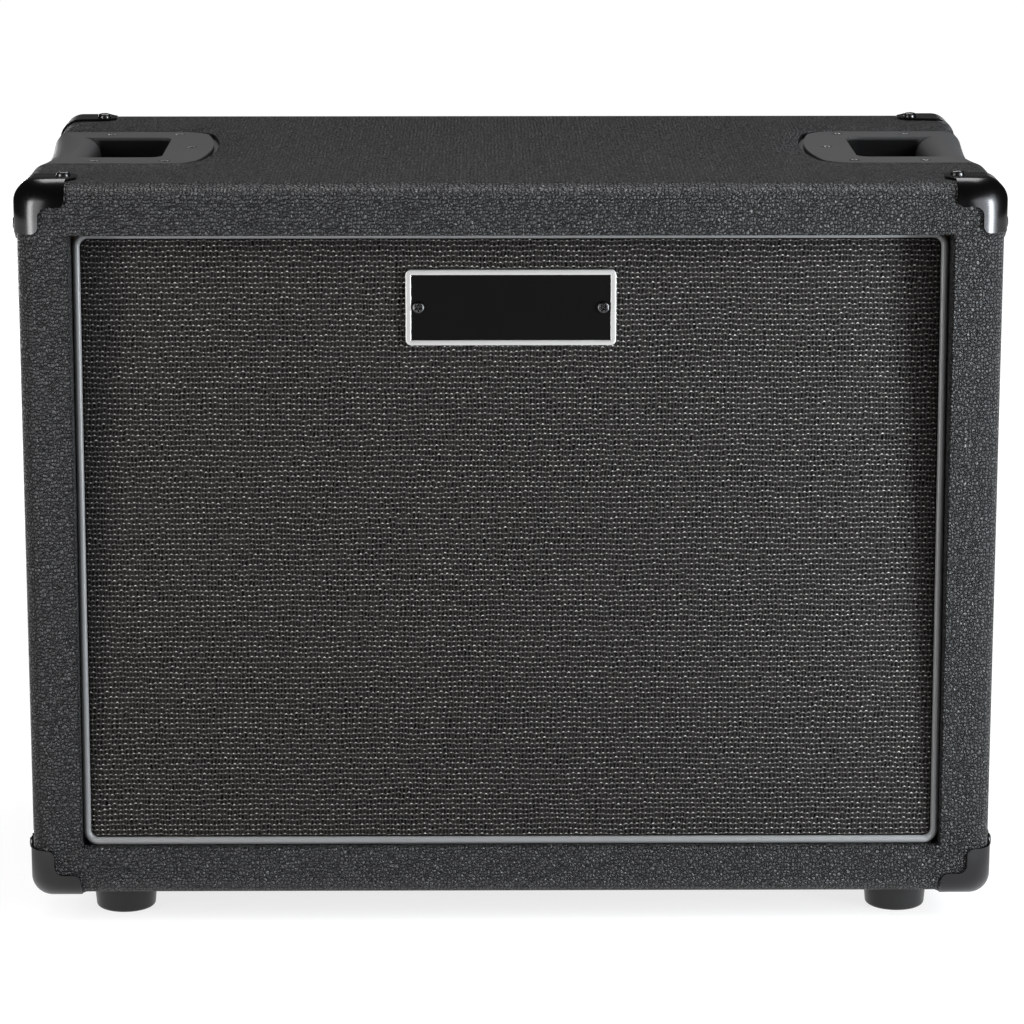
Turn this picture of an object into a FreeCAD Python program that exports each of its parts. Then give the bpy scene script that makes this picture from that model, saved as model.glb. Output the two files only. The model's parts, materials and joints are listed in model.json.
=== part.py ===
"""A closed guitar speaker cabinet for one 12-inch loudspeaker, built as its separate pieces.

Millimetres, +Z up. The front faces -Y, and the origin lies on the floor under the middle of the box.
The grille, the baffle and the loudspeaker lean back together, so they share one slanted frame whose
+Y runs into the box at a right angle to the cloth.
"""
import FreeCAD, Part
import math
import os
import re

import Sketcher
from FreeCAD import Placement, Rotation, Vector

SIZES = {
    # Cabinet, measured over its vinyl
    "cab_width": 540.0,
    "cab_depth": 300.0,
    "cab_height": 405.0,
    "edge_radius": 10.5,
    "panel_thickness": 18.0,
    "rabbet_depth": 9.0,
    "vinyl_thickness": 1.0,
    "vinyl_wrap": 20.0,
    "front_band": 28.5,
    # One small clearance, and the length by which every cutter overruns
    "fit_gap": 0.3,
    "overrun": 5.0,
    # Slanted front: the recess is that of the cloth's face at the middle of the opening
    "grille_tilt": 2.5,
    "grille_recess": 13.8,
    "cloth_thickness": 0.8,
    "piping_diameter": 4.2,
    "piping_corner_radius": 6.5,
    "frame_thickness": 12.0,
    "frame_rail_width": 28.0,
    "badge_rail_width": 66.0,
    "badge_rail_margin": 6.0,
    "pad_thickness": 3.0,
    "pad_width": 22.0,
    "pad_length": 45.0,
    # Badge plate and its screws
    "badge_width": 116.0,
    "badge_height": 42.0,
    "badge_thickness": 2.5,
    "badge_border": 3.0,
    "badge_sink": 0.6,
    "badge_corner_radius": 3.0,
    "badge_drop": 71.0,
    "badge_screw_spacing": 102.0,
    "badge_screw_head": 7.0,
    "badge_screw_rise": 1.8,
    "badge_screw_shank": 2.8,
    "badge_screw_length": 12.0,
    # Baffle board
    "baffle_thickness": 18.0,
    "baffle_hole_inset": 13.5,
    "baffle_screw_head": 8.0,
    "baffle_screw_rise": 2.6,
    "baffle_screw_shank": 4.0,
    "baffle_screw_length": 32.0,
    "baffle_screw_side_pitch": 180.0,
    "baffle_screw_end_pitch": 260.0,
    # Back panel on its cleats
    "back_thickness": 15.0,
    "back_recess": 3.0,
    "cleat_width": 18.0,
    "cleat_depth": 18.0,
    "back_screw_head": 8.0,
    "back_screw_rise": 2.8,
    "back_screw_shank": 4.0,
    "back_screw_length": 30.0,
    "back_screw_pitch_across": 200.0,
    "back_screw_pitch_up": 170.0,
    # Metal corner protectors
    "corner_thickness": 1.5,
    "corner_leg": 27.0,
    "corner_leg_width": 12.5,
    "corner_leg_inner_radius": 5.0,
    "corner_leg_end_radius": 4.0,
    "corner_depth_leg": 36.0,
    "corner_tab_reach": 32.0,
    "corner_tab_start": 18.0,
    "corner_tab_end": 32.5,
    "corner_tab_radius": 7.5,
    "corner_screw_inset": 24.5,
    "corner_screw_setback": 25.0,
    "corner_screw_head": 8.0,
    "corner_screw_rise": 2.4,
    "corner_screw_shank": 3.5,
    "corner_screw_length": 16.0,
    # Moulded handles that wrap round the top side edges
    "handle_width": 134.0,
    "handle_reach": 98.6,
    "handle_end_rise": 9.0,
    "handle_corner_radius": 18.0,
    "handle_wall": 3.0,
    "handle_end_gap": 3.2,
    "handle_side_gap": 0.6,
    "pocket_width": 85.0,
    "pocket_reach": 72.0,
    "pocket_corner_radius": 8.0,
    "grip_size": 30.0,
    "grip_length": 126.0,
    "grip_outer_radius": 17.5,
    "grip_edge_radius": 11.0,
    "grip_inner_radius": 12.0,
    "grip_saddle_length": 76.0,
    "handle_screw_near": 35.0,
    "handle_screw_far": 75.0,
    "handle_screw_end": 86.0,
    "handle_screw_spread": 113.0,
    "handle_screw_head": 7.0,
    "handle_screw_sink": 2.2,
    "handle_screw_shank": 3.5,
    "handle_screw_length": 16.0,
    # Rubber feet
    "foot_height": 19.0,
    "foot_top_diameter": 37.0,
    "foot_base_diameter": 34.0,
    "foot_edge_radius": 2.0,
    "foot_inset_side": 48.5,
    "foot_inset_end": 44.0,
    "foot_recess_diameter": 16.5,
    "foot_recess_depth": 10.0,
    "foot_washer_diameter": 16.0,
    "foot_washer_thickness": 1.2,
    "foot_screw_head": 9.0,
    "foot_screw_rise": 3.0,
    "foot_screw_shank": 4.5,
    "foot_screw_length": 27.0,
    # Jack dish in the back panel
    "dish_size": 84.0,
    "dish_corner_radius": 9.0,
    "dish_flange": 2.0,
    "dish_mouth": 60.0,
    "dish_floor": 46.0,
    "dish_mouth_radius": 7.0,
    "dish_depth": 26.0,
    "dish_wall": 2.5,
    "dish_height": 120.0,
    "dish_screw_spacing": 70.0,
    "dish_screw_head": 7.0,
    "dish_screw_rise": 2.0,
    "dish_screw_shank": 3.2,
    "dish_screw_length": 13.0,
    "jack_bore": 6.5,
    "jack_bushing": 9.5,
    "jack_bushing_rise": 7.0,
    "jack_body": 17.0,
    "jack_length": 30.0,
    "jack_bore_depth": 28.0,
    "jack_tag_length": 7.0,
    "jack_tag_width": 3.4,
    "jack_tag_thickness": 0.8,
    "jack_tag_spacing": 8.0,
    "jack_nut_width": 13.0,
    "jack_nut_thickness": 2.6,
    # Loudspeaker, in depth behind the front face of its flange
    "gasket_thickness": 2.0,
    "gasket_width": 11.5,
    "basket_diameter": 310.0,
    "basket_gauge": 2.0,
    "basket_flange_width": 18.0,
    "basket_shoulder_depth": 13.0,
    "basket_shoulder_step": 4.0,
    "basket_ledge_depth": 62.0,
    "basket_ledge_outer": 156.0,
    "basket_ledge_inner": 136.0,
    "basket_depth": 78.0,
    "basket_floor": 116.0,
    "basket_bore": 56.0,
    "basket_window_rim": 10.0,
    "basket_window_inner": 174.0,
    "basket_window_angle": 31.0,
    "surround_width": 13.0,
    "cone_thickness": 0.7,
    "cone_mouth_depth": 2.0,
    "cone_neck_depth": 58.0,
    "surround_lip_width": 5.5,
    "surround_roll_radius": 4.0,
    "cap_diameter": 64.0,
    "cap_radius": 61.0,
    "cap_thickness": 0.6,
    "spider_thickness": 0.6,
    "spider_roll_radius": 5.0,
    "coil_former_diameter": 44.6,
    "coil_former_thickness": 0.4,
    "coil_winding_thickness": 0.6,
    "coil_winding_height": 12.0,
    "coil_former_start": 54.0,
    "coil_former_end": 91.0,
    "front_plate_thickness": 7.0,
    "front_plate_diameter": 122.0,
    "front_plate_bore": 48.6,
    "magnet_diameter": 156.0,
    "magnet_bore": 66.0,
    "magnet_height": 20.0,
    "yoke_diameter": 146.0,
    "yoke_thickness": 6.0,
    "pole_diameter": 43.0,
    "pole_vent": 14.0,
    "bolt_inset": 6.25,
    "bolt_head": 9.5,
    "bolt_rise": 3.2,
    "bolt_shank": 5.0,
    "tee_flange": 18.0,
    "tee_flange_thickness": 1.6,
    "tee_barrel": 7.8,
    "tee_barrel_length": 12.0,
    # Terminal board on a lower spoke, its flexible leads and the wires from the jack
    "terminal_width": 40.0,
    "terminal_length": 14.0,
    "terminal_thickness": 2.0,
    "terminal_tag_spacing": 30.0,
    "terminal_tag_width": 5.0,
    "terminal_tag_length": 9.0,
    "terminal_tag_thickness": 0.8,
    "tinsel_diameter": 1.4,
    "lead_diameter": 3.0,
    "lead_first_run": 24.0,
    "lead_last_run": 30.0,
    "lead_floor_back": 25.0,
    "lead_floor_front": -15.0,
    "lead_drop_bow": 6.0,
    "clip_width": 26.0,
    "clip_length": 12.0,
    "clip_wall": 1.5,
}

# Places and sizes that follow from the driving ones
PLACES = {
    "half_width": "cab_width / 2",
    "half_depth": "cab_depth / 2",
    "cab_bottom": "foot_height",
    "cab_top": "foot_height + cab_height",
    "cab_middle": "foot_height + cab_height / 2",
    "half_wood_width": "half_width - vinyl_thickness",
    "half_wood_depth": "half_depth - vinyl_thickness",
    "wood_bottom": "cab_bottom + vinyl_thickness",
    "wood_top": "cab_top - vinyl_thickness",
    "half_room": "half_wood_width - panel_thickness",
    "room_floor": "wood_bottom + panel_thickness",
    "room_ceiling": "wood_top - panel_thickness",
    "room_height": "room_ceiling - room_floor",
    "half_opening": "half_width - front_band",
    "opening_bottom": "cab_bottom + front_band",
    "opening_top": "cab_top - front_band",
    "half_opening_height": "cab_height / 2 - front_band",
    "piping_half_width": "half_opening - fit_gap - piping_diameter / 2",
    "piping_half_height": "(half_opening_height - fit_gap - piping_diameter / 2) / cos(grille_tilt)",
    "cloth_half_width": "piping_half_width - piping_diameter / 2",
    "cloth_half_height": "piping_half_height - piping_diameter / 2",
    "cloth_corner_radius": "piping_corner_radius - piping_diameter / 2",
    "frame_corner_radius": "cloth_corner_radius - cloth_thickness",
    "frame_half_width": "cloth_half_width - cloth_thickness",
    "frame_half_height": "cloth_half_height - cloth_thickness",
    "frame_back": "cloth_thickness + frame_thickness",
    "baffle_front": "frame_back + pad_thickness",
    "baffle_back": "baffle_front + baffle_thickness",
    "baffle_rise": "(baffle_front + baffle_thickness / 2) * tan(grille_tilt)",
    "baffle_half_width": "half_room - fit_gap",
    "baffle_half_height":
        "(room_height - baffle_thickness * sin(grille_tilt)) / cos(grille_tilt) / 2 - fit_gap",
    "badge_rise": "(cab_height / 2 - badge_drop) / cos(grille_tilt)",
    "flange_front": "baffle_back + gasket_thickness",
    "back_face": "half_depth - back_recess",
    "back_inside": "back_face - back_thickness",
    "baffle_hole": "basket_diameter - 2 * baffle_hole_inset",
    "bolt_circle": "basket_diameter - 2 * bolt_inset",
    "gasket_bore": "basket_diameter - 2 * gasket_width",
    "basket_mouth": "basket_diameter - 2 * basket_flange_width",
    "basket_shoulder": "basket_mouth - 2 * basket_shoulder_step",
    "basket_window_outer": "basket_shoulder - 2 * basket_window_rim",
    "surround_lip": "basket_mouth + 2 * surround_lip_width",
    "cone_radius": "basket_mouth / 2 - surround_width",
    "cone_neck_radius": "coil_former_diameter / 2 + coil_former_thickness",
    "cone_slope": "(cone_neck_depth - cone_mouth_depth) / (cone_radius - cone_neck_radius)",
    "cone_wall": "cone_thickness * sqrt(1 + cone_slope * cone_slope)",
    "terminal_place": "(3 * basket_ledge_outer + 2 * basket_shoulder) / 10",
    "plate_front": "basket_depth + basket_gauge",
    "plate_back": "plate_front + front_plate_thickness",
    "magnet_back": "plate_back + magnet_height",
    "coil_middle": "plate_front + front_plate_thickness / 2",
    "dish_middle": "cab_bottom + dish_height",
}

SIDES = {"left": -1, "right": 1}
ENDS = {"front": -1, "back": 1}
LEVELS = {"bottom": -1, "top": 1}
BOLT_COUNT = 8
SPIDER_ROLLS = 5
TURN_SHARE = 0.45

doc = FreeCAD.newDocument("speaker_cabinet")
sheet = doc.addObject("Spreadsheet::Sheet", "Sizes")
for row, (size_name, number) in enumerate(SIZES.items(), start=1):
    sheet.set(f"A{row}", str(number))
    sheet.setAlias(f"A{row}", size_name)
doc.recompute()

nodes = []


def formula(text):
    """Spells out each size as its cell and each place as the sum it stands for."""
    def spelled(match):
        name = match.group()
        if name in SIZES:
            return "Sizes." + name
        if name in PLACES:
            return "(" + formula(PLACES[name]) + ")"
        return name
    return re.sub(r"[a-z]\w*", spelled, text)


def value(text):
    """The number that a formula gives on the sheet."""
    return float(sheet.evalExpression(formula(text)))


def bind(item, formulas):
    """Ties an object's properties to formulas on the sheet."""
    for path, text in formulas.items():
        item.setExpression(path, formula(text))


def node(label, item):
    """Names a finished sub-part."""
    item.Label = label
    nodes.append(item)
    return item


def move(item, x="0", y="0", z="0"):
    """Places an object at three formulas."""
    bind(item, {"Placement.Base.x": x, "Placement.Base.y": y, "Placement.Base.z": z})
    return item


def lean(item, into="0", up="0"):
    """Places an object in the slanted frame, some way into the box and up the slope."""
    item.Placement = Placement(Vector(), Rotation(Vector(1, 0, 0), -value("grille_tilt")))
    bind(item, {
        "Placement.Rotation.Angle": "-grille_tilt",
        "Placement.Base.y":
            f"-half_depth + grille_recess + ({into}) * cos(grille_tilt) + ({up}) * sin(grille_tilt)",
        "Placement.Base.z": f"cab_middle - ({into}) * sin(grille_tilt) + ({up}) * cos(grille_tilt)",
    })
    return item


def slant(into=0, up=0, across=0):
    """The slanted frame as a placement, for shapes that are set in code."""
    base = Placement(Vector(0, value("-half_depth + grille_recess"), value("cab_middle")),
                     Rotation(Vector(1, 0, 0), -value("grille_tilt")))
    return base.multiply(Placement(Vector(across, into, up), Rotation()))


# Solids between places, and operations on them


def block(name, x, y, z):
    """A box between two places on each axis."""
    item = doc.addObject("Part::Box", name)
    for axis, side, (low, high) in zip("xyz", ("Length", "Width", "Height"), (x, y, z)):
        bind(item, {f"Placement.Base.{axis}": low, side: f"({high}) - ({low})"})
    return item


def rod(name, radius, x, y, z):
    """A cylinder along Y between two places."""
    item = doc.addObject("Part::Cylinder", name)
    item.Placement = Placement(Vector(), Rotation(Vector(1, 0, 0), -90))
    bind(item, {"Radius": radius, "Height": f"({y[1]}) - ({y[0]})"})
    return move(item, x, y[0], z)


def cut(name, base, *tools):
    """The base less each tool in turn."""
    for number, tool in enumerate(tools):
        item = doc.addObject("Part::Cut", f"{name}_cut_{number}")
        item.Base = base
        item.Tool = tool
        base = item
    return base


def fuse(name, *shapes):
    """One solid of several."""
    item = doc.addObject("Part::MultiFuse", name)
    item.Shapes = list(shapes)
    item.Refine = True
    return item


def common(name, *shapes):
    """What several solids share."""
    item = doc.addObject("Part::MultiCommon", name)
    item.Shapes = list(shapes)
    return item


def mirrored(name, source, normal):
    """A copy of a sub-part on the other side of a plane through the origin or another base."""
    item = doc.addObject("Part::Mirroring", name)
    item.Source = source
    item.Normal = normal
    return item


def rounded(name, base, *choices):
    """Fillets the edges that each choice picks: pairs of a radius and a test on an edge."""
    doc.recompute()
    item = doc.addObject("Part::Fillet", name)
    item.Base = base
    picks = []
    for radius, chosen in choices:
        amount = value(radius)
        picks += [(number, amount, amount)
                  for number, edge in enumerate(base.Shape.Edges, start=1) if chosen(edge)]
    item.Edges = picks
    return item


def group(name, solids):
    """Separate solids that share one node."""
    item = doc.addObject("Part::Feature", name)
    item.Shape = Part.makeCompound(solids)
    return item


def along(direction):
    """A test for straight edges that run along an axis."""
    def chosen(edge):
        if not isinstance(edge.Curve, Part.Line):
            return False
        return abs(edge.Curve.Direction.dot(direction)) > math.cos(math.radians(1))
    return chosen


X_AXIS = Vector(1, 0, 0)
Y_AXIS = Vector(0, 1, 0)
Z_AXIS = Vector(0, 0, 1)


# Bodies from sketches


def sketch_on(body, name, role, start="0"):
    """A sketch on one of its body's origin planes, moved along the plane's normal."""
    item = body.newObject("Sketcher::SketchObject", name)
    plane = [part for part in body.Origin.OriginFeatures if part.Role == role]
    item.AttachmentSupport = [(plane[0], "")]
    item.MapMode = "FlatFace"
    bind(item, {"AttachmentOffset.Base.z": start})
    return item


def hold(item, kind, geometry, place, text):
    """Constrains a sketch's point or curve to a formula."""
    if kind == "Radius":
        number = item.addConstraint(Sketcher.Constraint(kind, geometry, value(text)))
    else:
        number = item.addConstraint(Sketcher.Constraint(kind, -1, 1, geometry, place, value(text)))
    label = f"{kind}_{number}"
    item.renameConstraint(number, label)
    bind(item, {f"Constraints.{label}": text})


def arc_middle(first, last, radius, turn):
    """The middle of the short arc between two points, bulging to the right of a left turn."""
    chord = last - first
    left = Vector(-chord.y, chord.x, 0).normalize()
    rise = radius - math.sqrt(radius * radius - chord.Length * chord.Length / 4)
    return (first + last) / 2 - left * (turn * rise)


def outline(item, corners):
    """A closed outline. A corner is (x, y), with (radius, turn) where an arc leads to the next."""
    points = [Vector(value(corner[0]), value(corner[1]), 0) for corner in corners]
    starts = []
    ends = []
    for number, corner in enumerate(corners):
        first = points[number]
        last = points[(number + 1) % len(points)]
        if len(corner) == 2:
            geometry = item.addGeometry(Part.LineSegment(first, last))
            starts.append((geometry, 1))
            ends.append((geometry, 2))
            continue
        middle = arc_middle(first, last, value(corner[2]), corner[3])
        if corner[3] > 0:
            geometry = item.addGeometry(Part.Arc(first, middle, last))
            starts.append((geometry, 1))
            ends.append((geometry, 2))
        else:
            geometry = item.addGeometry(Part.Arc(last, middle, first))
            starts.append((geometry, 2))
            ends.append((geometry, 1))
    for number, corner in enumerate(corners):
        item.addConstraint(Sketcher.Constraint("Coincident", *ends[number - 1], *starts[number]))
        hold(item, "DistanceX", *starts[number], corner[0])
        hold(item, "DistanceY", *starts[number], corner[1])
        if len(corner) > 2:
            hold(item, "Radius", starts[number][0], 0, corner[2])
    return item


def rectangle(item, half_width, low, high):
    """A rectangle about the sketch's upright axis."""
    return outline(item, [(f"-({half_width})", low), (half_width, low),
                          (half_width, high), (f"-({half_width})", high)])


def rounded_rectangle(item, half_width, half_height, radius):
    """A rectangle with rounded corners about the sketch's origin."""
    across = f"({half_width}) - ({radius})"
    rise = f"({half_height}) - ({radius})"
    return outline(item, [
        (f"-({across})", f"-({half_height})"), (across, f"-({half_height})", radius, 1),
        (half_width, f"-({rise})"), (half_width, rise, radius, 1),
        (across, half_height), (f"-({across})", half_height, radius, 1),
        (f"-({half_width})", rise), (f"-({half_width})", f"-({rise})", radius, 1)])


def circle(item, x, y, radius):
    """A circle at two formulas."""
    geometry = item.addGeometry(Part.Circle(Vector(value(x), value(y), 0), Vector(0, 0, 1), value(radius)))
    hold(item, "Radius", geometry, 0, radius)
    hold(item, "DistanceX", geometry, 3, x)
    hold(item, "DistanceY", geometry, 3, y)
    return item


def pad(body, profile, thickness):
    """Thickens a sketch on the upright front plane towards the back."""
    item = body.newObject("PartDesign::Pad", profile.Name + "_pad")
    item.Profile = profile
    item.Reversed = True
    bind(item, {"Length": thickness})
    doc.recompute()
    return item


def pocket(body, profile, depth=None):
    """Cuts a sketch on the upright front plane towards the back, right through or to a depth."""
    before = body.Shape.Volume
    item = body.newObject("PartDesign::Pocket", profile.Name + "_pocket")
    item.Profile = profile
    if depth is None:
        item.Type = "ThroughAll"
    else:
        bind(item, {"Length": depth})
    doc.recompute()
    if body.Shape.Volume >= before:
        raise RuntimeError(profile.Name + " cuts nothing")
    return item


def body_fillet(body, radius, chosen):
    """Fillets the chosen edges of a body's last feature."""
    base = body.Tip
    names = [f"Edge{number}" for number, edge in enumerate(base.Shape.Edges, start=1) if chosen(edge)]
    item = body.newObject("PartDesign::Fillet", base.Name + "_fillet")
    item.Base = (base, names)
    bind(item, {"Radius": radius})
    doc.recompute()
    return item


def turned(name, axis, corners):
    """A body turned about its Y or Z axis, from corners given along and away from that axis."""
    body = doc.addObject("PartDesign::Body", name)
    if axis == "Y":
        profile = outline(sketch_on(body, name + "_profile", "YZ_Plane"), corners)
    else:
        swapped = [(away, height, *rest) for height, away, *rest in corners]
        profile = outline(sketch_on(body, name + "_profile", "XZ_Plane"), swapped)
    item = body.newObject("PartDesign::Revolution", name + "_turn")
    item.Profile = profile
    line = [part for part in body.Origin.OriginFeatures if part.Role == axis + "_Axis"]
    item.ReferenceAxis = (line[0], [""])
    item.Angle = 360
    doc.recompute()
    return body


# Screws


def revolved(points, dome=None):
    """A solid turned about Z from (radius, height) points, the first edge an arc through dome."""
    corners = [Vector(radius, 0, height) for radius, height in points]
    edges = [Part.LineSegment(*pair).toShape() for pair in zip(corners, corners[1:] + corners[:1])]
    if dome:
        edges[0] = Part.Arc(corners[0], Vector(dome[0], 0, dome[1]), corners[1]).toShape()
    return Part.Face(Part.Wire(edges)).revolve(Vector(), Z_AXIS, 360)


def pan_screw(kind):
    """A domed screw, its head above z = 0 and its pointed shank below."""
    head = value(kind + "_head") / 2
    rise = value(kind + "_rise")
    shank = value(kind + "_shank") / 2
    length = value(kind + "_length")
    ball = (head * head + rise * rise) / (2 * rise)
    halfway = math.asin(head / ball) / 2
    dome = (ball * math.sin(halfway), rise - ball * (1 - math.cos(halfway)))
    return revolved([(0, rise), (head, 0), (shank, 0), (shank, shank - length), (0, -length)], dome)


def flush_screw(kind):
    """A countersunk screw, its flat head level with z = 0."""
    head = value(kind + "_head") / 2
    sink = value(kind + "_sink")
    shank = value(kind + "_shank") / 2
    length = value(kind + "_length")
    return revolved([(0, 0), (head, 0), (shank, -sink), (shank, shank - length), (0, -length)])


def set_at(solid, place, outward):
    """A copy of a screw with its head at a place, pointing outward."""
    copy = solid.copy()
    copy.Placement = Placement(Vector(*place), Rotation(Z_AXIS, Vector(*outward)))
    return copy


# Boards of the box


def corner_screws():
    """One screw through each flange of the eight corner protectors."""
    screw = pan_screw("corner_screw")
    across = value("half_width - corner_screw_inset")
    reach = value("half_width + corner_thickness")
    back = value("half_depth - corner_screw_setback")
    solids = []
    for side in SIDES.values():
        for end in ENDS.values():
            for level in LEVELS.values():
                face = value("cab_middle") + level * value("cab_height / 2 + corner_thickness")
                beside = value("cab_middle") + level * value("cab_height / 2 - corner_screw_inset")
                solids.append(set_at(screw, (side * across, end * back, face), (0, 0, level)))
                solids.append(set_at(screw, (side * reach, end * back, beside), (side, 0, 0)))
    return node("corner_screws", group("corner_screws", solids))


def handle_screws():
    """Five flush screws in the top flange and five in the side flange of each handle."""
    screw = flush_screw("handle_screw")
    spread = value("handle_screw_spread / 2")
    places = [(value("handle_screw_near"), -spread), (value("handle_screw_near"), spread),
              (value("handle_screw_far"), -spread), (value("handle_screw_far"), spread),
              (value("handle_screw_end"), 0)]
    solids = []
    for side in SIDES.values():
        for inward, along_edge in places:
            edge = value("half_width")
            top = value("cab_top")
            solids.append(set_at(screw, (side * (edge - inward), along_edge, top), (0, 0, 1)))
            solids.append(set_at(screw, (side * edge, along_edge, top - inward), (side, 0, 0)))
    return node("handle_screws", group("handle_screws", solids))


def foot_places():
    """The four feet's names and the middles of their seats."""
    across = value("half_width - foot_inset_side")
    back = value("half_depth - foot_inset_end")
    return [(f"{end}_{side}", SIDES[side] * across, ENDS[end] * back) for end in ENDS for side in SIDES]


def foot_screws():
    """A screw in each foot's recess, up into the bottom board."""
    screw = pan_screw("foot_screw")
    height = value("foot_recess_depth - foot_washer_thickness")
    solids = [set_at(screw, (x, y, height), (0, 0, -1)) for _, x, y in foot_places()]
    return node("foot_screws", group("foot_screws", solids))


def rounded_box(name, inset):
    """The cabinet's outer form with all its edges rounded, some way under the vinyl's face."""
    solid = block(name + "_block",
                  (f"-half_width + {inset}", f"half_width - {inset}"),
                  (f"-half_depth + {inset}", f"half_depth - {inset}"),
                  (f"cab_bottom + {inset}", f"cab_top - {inset}"))
    return rounded(name, solid, (f"edge_radius - {inset}", lambda edge: True))


def boards(cutters, screws):
    """The four boards: the sides carry rabbets for the ends of the top and bottom."""
    envelope = rounded_box("wood_form", "vinyl_thickness")
    depth = ("-half_wood_depth", "half_wood_depth")
    span = ("-half_wood_width + rabbet_depth", "half_wood_width - rabbet_depth")
    flats = {"top": block("top_board", span, depth, ("room_ceiling", "wood_top")),
             "bottom": block("bottom_board", span, depth, ("wood_bottom", "room_floor"))}
    for level, board in flats.items():
        shape = common(level + "_shape", envelope, board)
        tools = list(cutters.values()) if level == "top" else []
        node(level + "_panel", cut(level + "_panel", shape, *tools, *screws))
    for side, sign in SIDES.items():
        edges = sorted(("half_room", "half_wood_width"), reverse=sign < 0)
        walls = tuple(edge if sign > 0 else f"-{edge}" for edge in edges)
        board = block(side + "_board", walls, depth, ("wood_bottom", "wood_top"))
        shape = common(side + "_shape", envelope, board)
        node(side + "_side_panel",
             cut(side + "_side_panel", shape, flats["top"], flats["bottom"], cutters[side], *screws))
    return envelope


def covering(envelope, cutters, screws):
    """One skin of vinyl over the boards, turned in at the front opening and cut at the back."""
    skin = rounded_box("vinyl_form", "0")
    front = ("-half_depth - overrun", "-half_depth + vinyl_wrap")
    mouth = block("front_mouth", ("-half_opening", "half_opening"), front,
                  ("opening_bottom", "opening_top"))
    sleeve = block("front_sleeve",
                   ("-half_opening - vinyl_thickness", "half_opening + vinyl_thickness"), front,
                   ("opening_bottom - vinyl_thickness", "opening_top + vinyl_thickness"))
    rear = block("rear_mouth", ("-half_room", "half_room"), ("0", "half_depth + overrun"),
                 ("room_floor", "room_ceiling"))
    core = cut("vinyl_core", envelope, sleeve)
    node("vinyl_covering",
         cut("vinyl_covering", skin, core, mouth, rear, *cutters.values(), *screws))


def front_lips(baffle_screws):
    """Four strips behind the front band, their backs cut to the slant of the baffle."""
    room = lean(block("behind_baffle", ("-half_width", "half_width"), ("0", "half_depth"),
                      ("-cab_height", "cab_height")), "baffle_front", "-cab_height")
    front = ("-half_wood_depth", "0")
    face = "half_opening + vinyl_thickness"
    low = "opening_bottom - vinyl_thickness"
    high = "opening_top + vinyl_thickness"
    strips = {"top": (("-half_room", "half_room"), (high, "room_ceiling")),
              "bottom": (("-half_room", "half_room"), ("room_floor", low)),
              "left": (("-half_room", f"-({face})"), (low, high)),
              "right": ((face, "half_room"), (low, high))}
    for name, (across, upright) in strips.items():
        strip = block(name + "_strip", across, front, upright)
        node("front_lip_" + name, cut("front_lip_" + name, strip, room, baffle_screws))


# Grille


def grille():
    """Frame, pads, cloth and piping, all in the slanted frame."""
    frame = doc.addObject("PartDesign::Body", "frame_blank")
    start = "-cloth_thickness"
    pad(frame, rounded_rectangle(sketch_on(frame, "frame_outer", "XZ_Plane", start), "frame_half_width",
                                 "frame_half_height", "frame_corner_radius"), "frame_thickness")
    inner = "frame_half_height - frame_rail_width"
    pocket(frame, rectangle(sketch_on(frame, "frame_window", "XZ_Plane", start),
                            "frame_half_width - frame_rail_width", f"-({inner})", inner))
    lower = "frame_half_height - badge_rail_width"
    pad(frame, rectangle(sketch_on(frame, "badge_rail", "XZ_Plane", start),
                         "badge_width / 2 + badge_rail_margin", lower, inner), "frame_thickness")
    lean(frame)

    cloth = doc.addObject("PartDesign::Body", "cloth_blank")
    pad(cloth, rounded_rectangle(sketch_on(cloth, "cloth_outer", "XZ_Plane"), "cloth_half_width",
                                 "cloth_half_height", "cloth_corner_radius"), "frame_back")
    pocket(cloth, rounded_rectangle(sketch_on(cloth, "cloth_inside", "XZ_Plane", start), "frame_half_width",
                                    "frame_half_height", "frame_corner_radius"), "frame_thickness")
    lean(cloth)

    thickness = value("pad_thickness")
    across = value("frame_half_width - frame_rail_width / 2")
    rise = value("frame_half_height - frame_rail_width / 2 - pad_length")
    tab = Part.makeBox(value("pad_width"), thickness, value("pad_length"),
                       Vector(-value("pad_width / 2"), 0, -value("pad_length / 2")))
    tabs = []
    for side in SIDES.values():
        for level in (-1, 0, 1):
            copy = tab.copy()
            copy.Placement = slant(value("frame_back"), level * rise, side * across)
            tabs.append(copy)
    node("grille_fastener_pads", group("grille_fastener_pads", tabs))
    return frame, cloth


def piping():
    """A round bead swept along a rounded rectangle at the edge of the cloth."""
    radius = value("piping_corner_radius")
    across = value("piping_half_width") - radius
    rise = value("piping_half_height") - radius
    diagonal = radius * math.sqrt(1 / 2)
    bends = []
    for side, level in ((1, -1), (1, 1), (-1, 1), (-1, -1)):
        middle = Vector(side * across, 0, level * rise)
        ends = [middle + Vector(0, 0, level * radius), middle + Vector(side * radius, 0, 0)]
        if side == level:
            ends.reverse()
        bends.append((ends[0], middle + Vector(side * diagonal, 0, level * diagonal), ends[1]))
    edges = []
    for bend, after in zip(bends, bends[1:] + bends[:1]):
        edges.append(Part.Arc(*bend).toShape())
        edges.append(Part.LineSegment(bend[2], after[0]).toShape())
    bead = Part.Wire(Part.makeCircle(value("piping_diameter / 2"), bends[0][0], X_AXIS))
    item = doc.addObject("Part::Feature", "grille_piping")
    item.Shape = Part.Solid(Part.Wire(edges).makePipeShell([bead], True, False).Shells[0])
    return node("grille_piping", lean(item))


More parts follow.
